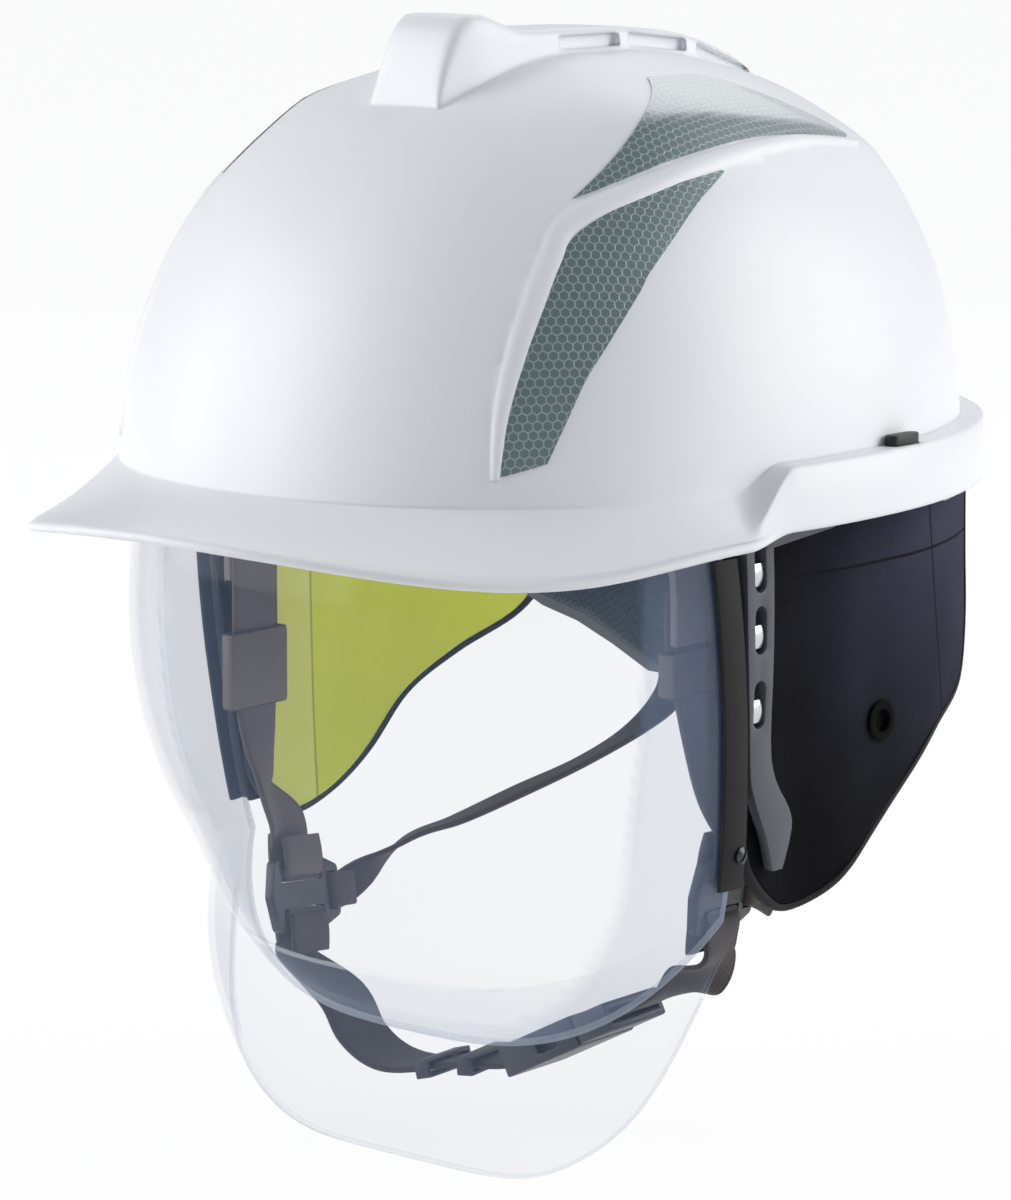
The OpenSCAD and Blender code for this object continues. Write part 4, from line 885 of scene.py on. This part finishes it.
# Headband and its keys
# A plain band round the brow, moulded in grey plastic and open behind. A small key at the back holds
# the rear end of the long crown strap.
keep_solid(moulded("headband_plastic", tone(196, 199, 204), 0.5), 0.4, "headband", "rear_key")
band_half, band_front, headband_foot, headband_height, headband_wall = 78, 91, 2, 26, 2


# Crown straps and soft pads
# Two crossing webbing straps carry the head. The pads are thin foam with knitted cloth over it,
# sewn round the edge, on the brow, under the crossing and on the nape cradle.
web_thick, seat_gap = 1.6, 0.3


def woven(name, colour, second, warp=1.3, weft=1.1, edge=None, sheen=0.25):
    """Webbing: a weave that follows the strap's own length and width, tighter and darker along its edges."""
    finish = Finish(name)
    along, across = finish.along_and_across()
    row = (across / weft).maths("FLOOR")
    ribs = (across * (math.pi / weft)).maths("SINE").maths("ABSOLUTE")
    picks = (along * (math.pi / warp) + row * (math.pi / 2)).maths("SINE").maths("ABSOLUTE")
    height = ribs * 0.5 + picks * 0.5
    fibre = finish.noise(1, 2.0, finish.place("UV"), (3.0, 9.0, 1.0))
    woven_tone = finish.mix(height * 0.6 + fibre * 0.4, second, colour)
    if edge:
        rim = across.maths("ABSOLUTE") > edge
        woven_tone = finish.mix(rim * 0.5, woven_tone, second)
    return finish.surface(woven_tone, 0.75 + 0.15 * fibre, height + fibre * 0.3, 0.00012,
                          sheen_weight=sheen, sheen_roughness=0.5)


def strap(centres, across, width, thick):
    """A flat strap with rounded edges along a path of centres, and each point's place on the flat webbing."""
    path, wide = smooth_path(centres, 8), smooth_path(across, 8)
    round_half = thick / 2
    flat_half = width / 2 - round_half
    outline = [(v, round_half) for v in np.linspace(-flat_half, flat_half, 6)]
    outline += [(flat_half + round_half * math.cos(a), round_half * math.sin(a))
                for a in np.radians((45, 0, -45))]
    outline += [(-v, -h) for v, h in outline]
    rings, flat, length = [], [], 0.0
    for i, p in enumerate(path):
        along = way_along(path, i)
        along /= np.linalg.norm(along)
        w = wide[i] - (wide[i] @ along) * along
        w /= np.linalg.norm(w)
        t = np.cross(along, w)
        if i:
            length += float(np.linalg.norm(p - path[i - 1]))
        rings.append([p + w * v + t * h for v, h in outline])
        flat += [(length, v) for v, h in outline]
    points, faces = loft(rings)
    return points, faces, flat


def crown_strap(name, centres, across):
    points, faces, flat = strap(centres, [across] * len(centres), crown_width, web_thick)
    piece(name + "_web", points, faces, crown_web, "shell", "crown_webbing", [name], flat)


crown_foot, crown_rise, crown_width, rear_room, cross_drop, cross_place = 28, 97, 22, 19, 2.6, 8
front_line = ((1.003, -0.168), (1.005, 0.01), (0.968, 0.112), (0.896, 0.266), (0.809, 0.42), (0.706, 0.573),
              (0.575, 0.727), (0.391, 0.881), (0.13, 0.986))
crown_web = woven("crown_webbing", tone(84, 84, 92), tone(52, 52, 60), edge=9.6)
reach = band_front + seat_gap + web_thick / 2
rise = crown_rise + seat_gap + 2 - crown_foot
long_centres = [(0, -reach * out, crown_foot + rise * up) for out, up in front_line]
long_centres += [(0, (reach + rear_room) * math.sin(a), crown_foot + rise * math.cos(a))
                 for a in np.radians((5, 20, 35, 50, 65, 80, 90))]
long_centres += [(0, reach + rear_room, 5)]
crown_strap("crown_strap_long", long_centres, (1, 0, 0))
reach = band_half + seat_gap + web_thick / 2
rise = crown_rise - crown_foot - cross_drop
cross_centres = [(-reach, cross_place, crown_foot - 12)]
cross_centres += [(reach * math.sin(a), cross_place, crown_foot + 2 + rise * math.cos(a))
                  for a in np.radians(np.arange(-90, 91, 15))]
cross_centres += [(reach, cross_place, crown_foot - 12)]
crown_strap("crown_strap_cross", cross_centres, (0, 1, 0))

knit = Finish("pad_cloth")
stitch_wide, stitch_high, seam_depth, seam_width = 1.6, 1.4, 0.55, 0.03
knit_u, knit_v = knit.along_and_across()
row = (knit_v / stitch_high).maths("FLOOR")
loops = (knit_u * (math.pi / stitch_wide) + row * (math.pi / 2)).maths("SINE").maths("ABSOLUTE")
loops = loops * (knit_v * (math.pi / stitch_high)).maths("SINE").maths("ABSOLUTE")
fuzz = knit.noise(700, 3.0)
knit.surface(knit.mix(loops * 0.6 + fuzz * 0.4, tone(46, 56, 66), tone(82, 94, 106)), 0.9,
             loops + fuzz * 0.4, 0.00025, sheen_weight=0.4, sheen_roughness=0.5)


def cushion(name, place, across, along, thick, low, body, seams=()):
    """A thin crowned pad: place(u, v, height) maps its flat pattern, sewn down at its edge and its seams."""
    u, v = np.meshgrid(np.linspace(-1, 1, 61), np.linspace(-1, 1, 41))
    edge = (1 - np.abs(u) ** 8) * (1 - np.abs(v) ** 6)
    edge = np.clip(edge, 0, 1) ** 0.5
    dips = np.ones_like(u)
    for seam in seams:
        dips *= 1 - seam_depth * np.exp(-((u - seam) / seam_width) ** 2)
    pad_height = low + (thick - low) * edge * dips
    pad_height += 0.12 * edge * np.sin(9 * u + 3 * v) * np.sin(7 * v)
    points, faces, rim = sheet(place(u, v, pad_height), place(u, v, np.zeros_like(u)), 0.45)
    flat = np.column_stack([(u * across).ravel(), (v * along).ravel()])
    flat = np.vstack([flat, flat, flat[rim]])
    made = piece(name + "_cloth", points, faces, knit.material, body, "pad_cloth", [name], flat, corner=70)


def brow_place(u, v, lift):
    a = np.radians(52) * u
    d = headband_wall + seat_gap + lift
    return np.stack([(band_half - d) * np.sin(a), -(band_front - d) * np.cos(a),
                     headband_foot + 2 + (headband_height - 4) * (v + 1) / 2], axis=-1)


def crown_place(u, v, lift):
    square = 22 * (1 - 0.13 * (u * v) ** 2)
    return np.stack([u * square, 6 + v * square, crown_rise - cross_drop - 1.9 - lift], axis=-1)


def nape_place(u, v, lift):
    """The cradle's inside, from a little above its lower edge to a little below its upper one."""
    a = 58 * u
    low = np.interp(np.abs(a), cradle_turns, cradle_low)
    high = np.interp(np.abs(a), cradle_turns, cradle_high)
    z = low + 4 + (high - low - 8) * (v + 1) / 2
    d = cradle_wall + seat_gap + lift
    turn = np.radians(a)
    return np.stack([(cradle_half - d) * np.sin(turn), cradle_centre + (cradle_reach - d) * np.cos(turn), z],
                    axis=-1)


cradle_half, cradle_reach, cradle_centre, cradle_wall = 75.7, 56, 45, 2
cradle_turns = (0, 26, 44, 62, 80, 90)
cradle_low, cradle_high = (-68, -70, -55, -46, -22, -2), (-34, -30, -16, 0, 18, 24)
cushion("brow_pad", brow_place, 78, 12, 5, 1.2, "shell", (-0.5, 0, 0.5))
cushion("crown_pad", crown_place, 22, 22, 5, 2.2, "shell")
cushion("nape_pad", nape_place, 60, 18, 4, 1.4, "nape", (-0.45, 0.45))


# Nape cradle, ratchet housing and knob
# A slate coloured moulded cradle runs round the neck inside the headband. The ratchet on its back
# tightens it with a black knob that has a scalloped grip.
keep_solid(moulded("cradle_slate", tone(134, 136, 140), 0.5), 0.4, "nape_cradle")
keep_solid(moulded("ratchet_black", tone(36, 37, 41), 0.5), 0.6, "ratchet_housing", "ratchet_knob")


# Neck flaps
# Each flap is two layers of cloth: navy flame resistant twill outside and a lime lining inside,
# bound in black all round, with a round press stud set in the outer cloth.
cloth_thick, flap_top, flap_rows, lining_back, flap_out, ripple_depth = 1.2, 0.2, 56, -2.7, 87.4, 0.45
flap_hem = [(-20.5, -74), (-18, -89), (-10, -99), (-1, -103.5), (12, -100), (28, -89.5), (46, -75),
            (66, -64), (87, -54), (97, -38)]
stud_place, stud_room, far_swing, far_height = (35, -58), 4.3, 0.14, 0.95


def flap_points(y, z, side, grow):
    """Points on one side's flap, for the left side; the caller mirrors the right one."""
    low = np.clip(-z / 100, 0, 1) ** 1.5
    rear = step_between((y + 4) / 30)
    lean = 3 * rear if side > 0 else -5 - 5 * rear
    x = (flap_out + 3.1 * rear - 12.5 * (np.maximum(0, y - 40) / 53) ** 2 + lean * low
         + 0.7 * np.sin(np.radians(9 * y)) * low * rear) + grow
    if side > 0:
        return np.stack([x, y, z], axis=-1)
    return np.stack([x, y + far_swing * z, z * far_height], axis=-1)


def twill(name, painted_lit_tone, painted_shade_tone, pitch, seam_tone, sheen, seams, front=None, painted_glow=0.0):
    """Cloth with a slanted rib and soft blotches, with a painted highlight to the upper rear and painted
    shade to the front and bottom.

    Each seam is a straight line of another tone, given by its slant on the flat cloth and its distance
    from the cloth's origin. front is the paler tone of the cloth's forward edge.
    """
    finish = Finish(name)
    u, v = finish.along_and_across()
    ribs = ((u + v * 0.6) * (math.pi / pitch)).maths("SINE").maths("ABSOLUTE")
    threads = (v * (math.pi / (pitch * 0.7))).maths("SINE").maths("ABSOLUTE")
    soft_blotches = finish.noise(26, 5.0)
    fuzz = finish.noise(900, 2.0)
    highlight_toward_rear = ((u + 8) * 0.013).clamped()
    highlight_toward_top = ((v + 84) * 0.014).clamped()
    # The share of the painted lit tone grows to the upper rear as a painted highlight; elsewhere the cloth
    # keeps its painted shade tone.
    share = (soft_blotches * 0.4 + ribs * 0.1 + highlight_toward_rear * highlight_toward_top * 0.6 - 0.22).clamped()
    cloth_tone = finish.mix(share, painted_shade_tone, painted_lit_tone)
    if front:
        cloth_tone = finish.mix((u + v * 0.1 < -2) * 0.6, cloth_tone, front)
    for slant, offset in seams:
        line = (u * slant[0] + v * slant[1] - offset).maths("ABSOLUTE") < 0.45
        cloth_tone = finish.mix(line, cloth_tone, seam_tone)
    # The cloth glows in its painted lit tone at painted_glow strength: painted light.
    return finish.surface(cloth_tone, 0.82 + 0.1 * fuzz, ribs * 0.6 + threads * 0.2 + fuzz * 0.3, 0.00014,
                          sheen_weight=sheen, sheen_roughness=0.45, specular_ior_level=0.15,
                          emission_color=painted_lit_tone, emission_strength=painted_glow)


# Each cloth is given as a painted lit tone and a painted shade tone, not as one colour of its own.
navy = twill("flap_navy", tone(70, 71, 94), tone(3, 3, 6), 1.0, tone(16, 16, 24), 0.0,
             [((0, 1), -14), ((1, 0.15), 62)])
# The lime lining glows faintly: painted light.
lime = twill("lining_lime", tone(226, 232, 76), tone(212, 220, 56), 0.9, tone(134, 142, 34), 0.1,
             [((1, 0.1), -2)], tone(232, 230, 150), painted_glow=0.2)
binding_cloth = woven("binding_black", tone(20, 20, 26), tone(10, 10, 13), 0.9, 0.8, sheen=0.05)


def flap_grid():
    """The flap's flat pattern, as columns of points from its top edge down to its hem."""
    columns = []
    for q in smooth_path(flap_hem, 14):
        share = 0.35 + 0.65 * min(1, max(0, (q[0] + 20) / 30))
        top = np.array([-26.5 + (q[0] + 26.5) * share, flap_top])
        columns.append([top + (q - top) * j / flap_rows for j in range(flap_rows + 1)])
    return np.array(columns)


def flap_face(grid, side, grow):
    y, z = grid[..., 0], grid[..., 1]
    loose = step_between(-z / 60) * step_between((y + 10) / 30)
    ripple = ripple_depth * loose * (0.5 * np.sin(y / 8.5 + z / 30) + 0.35 * np.sin(y / 4.3 - z / 17 + 1.3))
    return flap_points(y, z, side, grow + ripple)


def hole_out(points, faces, side):
    """Leaves out the faces under the press stud and draws the hole's edge out to a circle."""
    y, z = stud_place
    middle = np.array([y, z]) if side > 0 else np.array([y + far_swing * z, z * far_height])
    off = points[:, 1:] - middle
    away = np.hypot(off[:, 0], off[:, 1])
    kept = [f for f in faces if not all(away[i] < stud_room for i in f)]
    edge = away < stud_room
    points[edge, 1:] = middle + off[edge] / np.maximum(away[edge], 1e-6)[:, None] * stud_room
    return points, kept


grid = flap_grid()
for side, word in ((1, "left"), (-1, "right")):
    for node, low, high, finish, slot_name in (
            ("flap_outer_" + word, -cloth_thick, 0.0, navy, "flap_navy"),
            ("flap_lining_" + word, lining_back, lining_back + cloth_thick, lime, "lining_lime")):
        face = flap_face(grid, side, high - 0.1)
        points, faces, rim = sheet(face, flap_face(grid, side, low + 0.1), 0.4)
        flat = grid.reshape(-1, 2)
        flat = np.vstack([flat, flat, flat[rim]])
        down, along = face[1:, :-1] - face[:-1, :-1], face[:-1, 1:] - face[:-1, :-1]
        if finish == navy:
            points, faces = hole_out(points, faces, side)
        made = piece(node + "_cloth", *sided(points, faces, side), finish, "shell", slot_name, [node], flat,
                     corner=80)

    front = [(-24.4 + 3.9 * -z / 74, z) for z in (flap_top, -30, -58)]
    rear = [(flap_hem[-1][0], z) for z in (-20, flap_top)]
    path = smooth_path(front + flap_hem + rear, 8)
    low = lining_back - 0.3
    outline = [(0.25, 0.15), (0.9, 0.32), (1.6, 0.2), (2.1, -0.3), (2.25, low / 2), (2.1, low + 0.5),
               (1.6, low - 0.1), (0.9, low - 0.2), (0.25, low)]
    rings, flat, length = [], [], 0.0
    for i, q in enumerate(path):
        way = way_along(path, i)
        out = np.array([way[1], -way[0]]) / np.hypot(*way)
        if i:
            length += float(np.hypot(*(q - path[i - 1])))
        rings.append([flap_points(*(q + out * off), side, lift) * (side, 1, 1) for off, lift in outline])
        flat += [(length, k * 0.9 - 3.6) for k in range(len(outline))]
    piece("flap_binding_" + word + "_tape", *loft(rings), binding_cloth, "shell", "binding_black",
          ["flap_binding_" + word], flat, corner=60)
keep_solid(moulded("eyelet_black", tone(2, 2, 3), 0.8, specular_ior_level=0.1), 0.4, *pair("flap_eyelet"))


# Chin strap
# Plastic hangers on the headband carry grey webbing down to a three way buckle on each side. From there
# a narrow web runs round the neck to the cradle, and a wide one to the side release buckle below the chin.
keep_solid(moulded("hanger_grey", tone(146, 132, 124), 0.5), 0.5, *pair("strap_hanger"))
keep_solid(moulded("slider_brown", tone(118, 104, 99), 0.5), 0.9, *pair("strap_slider"))
strap_web = woven("strap_webbing", tone(86, 77, 79), tone(47, 41, 44), edge=7.6, sheen=0.1)
front_web = woven("front_webbing", tone(128, 115, 114), tone(88, 77, 77), edge=7.6, sheen=0.12)
buckle_dark = moulded("buckle_dark", tone(44, 43, 48), 0.42)
keep_solid(moulded("buckle_black", tone(22, 22, 25), 0.4), 1.1, *pair("y_buckle"))
keep_solid(buckle_dark, 0.5, "web_keepers")

web_width, rear_width, bar_reach, rear_bar, bar_half, plate_thick = 18, 10, 8.8, 16, 1.5, 3.2
loop_out = plate_thick / 2 + seat_gap + web_thick / 2
loop_in = bar_half + seat_gap + web_thick / 2
hanger_out, hanger_thick = 80.2, 1.2
lap_x = hanger_out - hanger_thick - seat_gap - web_thick / 2
loop_steps = ((9, 0.9), (4, 1), (0, 1.03), (-0.95, 0.8), (-1.05, 0), (-0.95, -0.8), (0, -1.03), (4, -1),
              (8, -0.8))


def axes_of(first, second):
    u = np.array(first, dtype=float)
    u /= np.linalg.norm(u)
    v = np.array(second, dtype=float)
    v /= np.linalg.norm(v)
    v = v - (v @ u) * u
    return u, v, np.cross(u, v)


plates = {1: (np.array([74.5, -14.5, -100.0]), axes_of((-0.16, 0.98, -0.08), (0.1, 0.1, 0.98))),
          -1: (np.array([-70.0, -24.5, -121.0]), axes_of((-0.12, 0.98, -0.12), (-0.2, 0.1, 0.97)))}


def plate_way(side, p):
    u, v, w = plates[side][1]
    return p[0] * u + p[1] * v + p[2] * w


def loop_at(side, way, face):
    """The webbing's turn round one bar of a three way buckle, as points and the direction of its width."""
    bar = rear_bar + bar_half / 3 if way[0] > 0 else bar_reach
    points = []
    for out, lift in loop_steps:
        d = bar + out if out > 0 else bar + out * loop_in
        points.append(plates[side][0] + plate_way(side, (way[0] * d, way[1] * d, face * lift * loop_out)))
    wide = plate_way(side, (0 if way[1] == 0 else 1, way[0], 0))
    return points, [wide] * len(points)


def web_piece(node, centres, across, width, body="shell", finish=strap_web):
    points, faces, flat = strap(centres, across, width, web_thick)
    return piece(node + "_webbing", points, faces, finish, body, "strap_webbing", [node], flat, corner=60)


loop, wide = loop_at(1, (0, 1), 1)
run = [(lap_x, -33.5, -14), (lap_x, -33.5, -29), (lap_x + 1, -31.5, -40), (lap_x + 1.2, -26.5, -56),
       (lap_x + 0.4, -20.5, -70)]
run_wide = [(0, 1, 0), (0, 1, 0), (0, 1, 0), (0, 1, 0.1), (-0.1, 1, 0.1)]
web_piece("front_web_left", run + loop, run_wide + wide, web_width, finish=front_web)
loop, wide = loop_at(-1, (0, 1), -1)
run = [(-lap_x, -33.5, -14), (-lap_x, -33.5, -29), (-lap_x, -33.6, -50), (0.4 - lap_x, -33.6, -68),
       (2.4 - lap_x, -34, -81), (4.6 - lap_x, -34, -91)]
run_wide = [(0, 1, 0), (0, 1, 0), (0, 1, 0), (-0.15, 1, 0), (-0.4, 0.92, 0), (-0.6, 0.8, 0)]
web_piece("front_web_right", run + loop, run_wide + wide, web_width, finish=front_web)

# The webbing's doubled end, sewn down, fills what is left of each slot
fold_in, fold_half, fold_thick = bar_reach - bar_half - 1.9, 2.1, 3.0
for side, word in ((1, "left"), (-1, "right")):
    for end, node in ((1, "front_web_" + word), (-1, "chin_web_" + word)):
        fold = [plates[side][0] + plate_way(side, (0, end * fold_in, w)) for w in (-fold_half, 0, fold_half)]
        points, faces, flat = strap(fold, [plates[side][1][0]] * 3, web_width - 0.4, fold_thick)
        piece("web_fold_" + node, points, faces, strap_web, "shell", "strap_webbing", [node], flat, corner=60)

rear_path = [(64, 16, -111), (58, 32, -107), (50.5, 52, -100.5), (42, 71, -93.5), (34.5, 87, -85),
             (29.5, 97, -75), (28.3, 98.5, -62)]
rear_wide = [(-0.9, -0.3, 0.35), (-0.9, -0.4, 0.1), (-0.88, -0.45, 0), (-0.88, -0.4, 0.1), (-0.9, -0.1, 0.1),
             (-0.957, 0.291, 0), (-0.957, 0.291, 0)]
for side, word in ((1, "left"), (-1, "right")):
    loop, wide = loop_at(side, (1, 0), side)
    centres = loop[::-1] + [(side * x, y, z) for x, y, z in rear_path]
    across = wide + [(side * x, y, z) for x, y, z in rear_wide]
    made = web_piece("rear_web_" + word, centres, across, rear_width, None)
    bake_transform(made)

buckle_centre = np.array([27.0, -14.0, -147.0])
buckle_axes = axes_of((38, -1, 20), (0, 1, 0))
buckle_wide = buckle_axes[1]


def on_buckle(x, z=0):
    return buckle_centre + x * buckle_axes[0] + z * buckle_axes[2]


loop, wide = loop_at(-1, (0, -1), -1)
run = [(-56, -21.5, -149.5), (-48, -22, -159), (-38, -21, -164.5), (-26, -18, -165), (-12, -16, -161.5),
       on_buckle(-26, -0.5), on_buckle(-19)]
run_wide = [(0.1, 0.98, 0.1), (0.1, 1, 0.1), (0, 1, 0.1), (0, 1, 0), (0, 1, 0), buckle_wide, buckle_wide]
web_piece("chin_web_right", loop[::-1] + run, wide + run_wide, web_width)
loop, wide = loop_at(1, (0, -1), 1)
run = [(67.5, -15.4, -125.4), (60.5, -14.9, -129.8), on_buckle(29), on_buckle(21)]
run_wide = [(0.6, 0.8, -0.3), (0.3, 1, 0), buckle_wide, buckle_wide]
made = web_piece("chin_web_left", loop[::-1] + run, wide + run_wide, web_width, None)
tuple(on_buckle(26) * MM)
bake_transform(made)


# Side release buckle
# Two halves in black plastic: a socket with a window on each edge, and a plug with two sprung arms
# and a middle guide. The webbing is sewn through a bar at the far end of each half.
keep_solid(buckle_dark, 0.9, "buckle_socket", "buckle_plug")
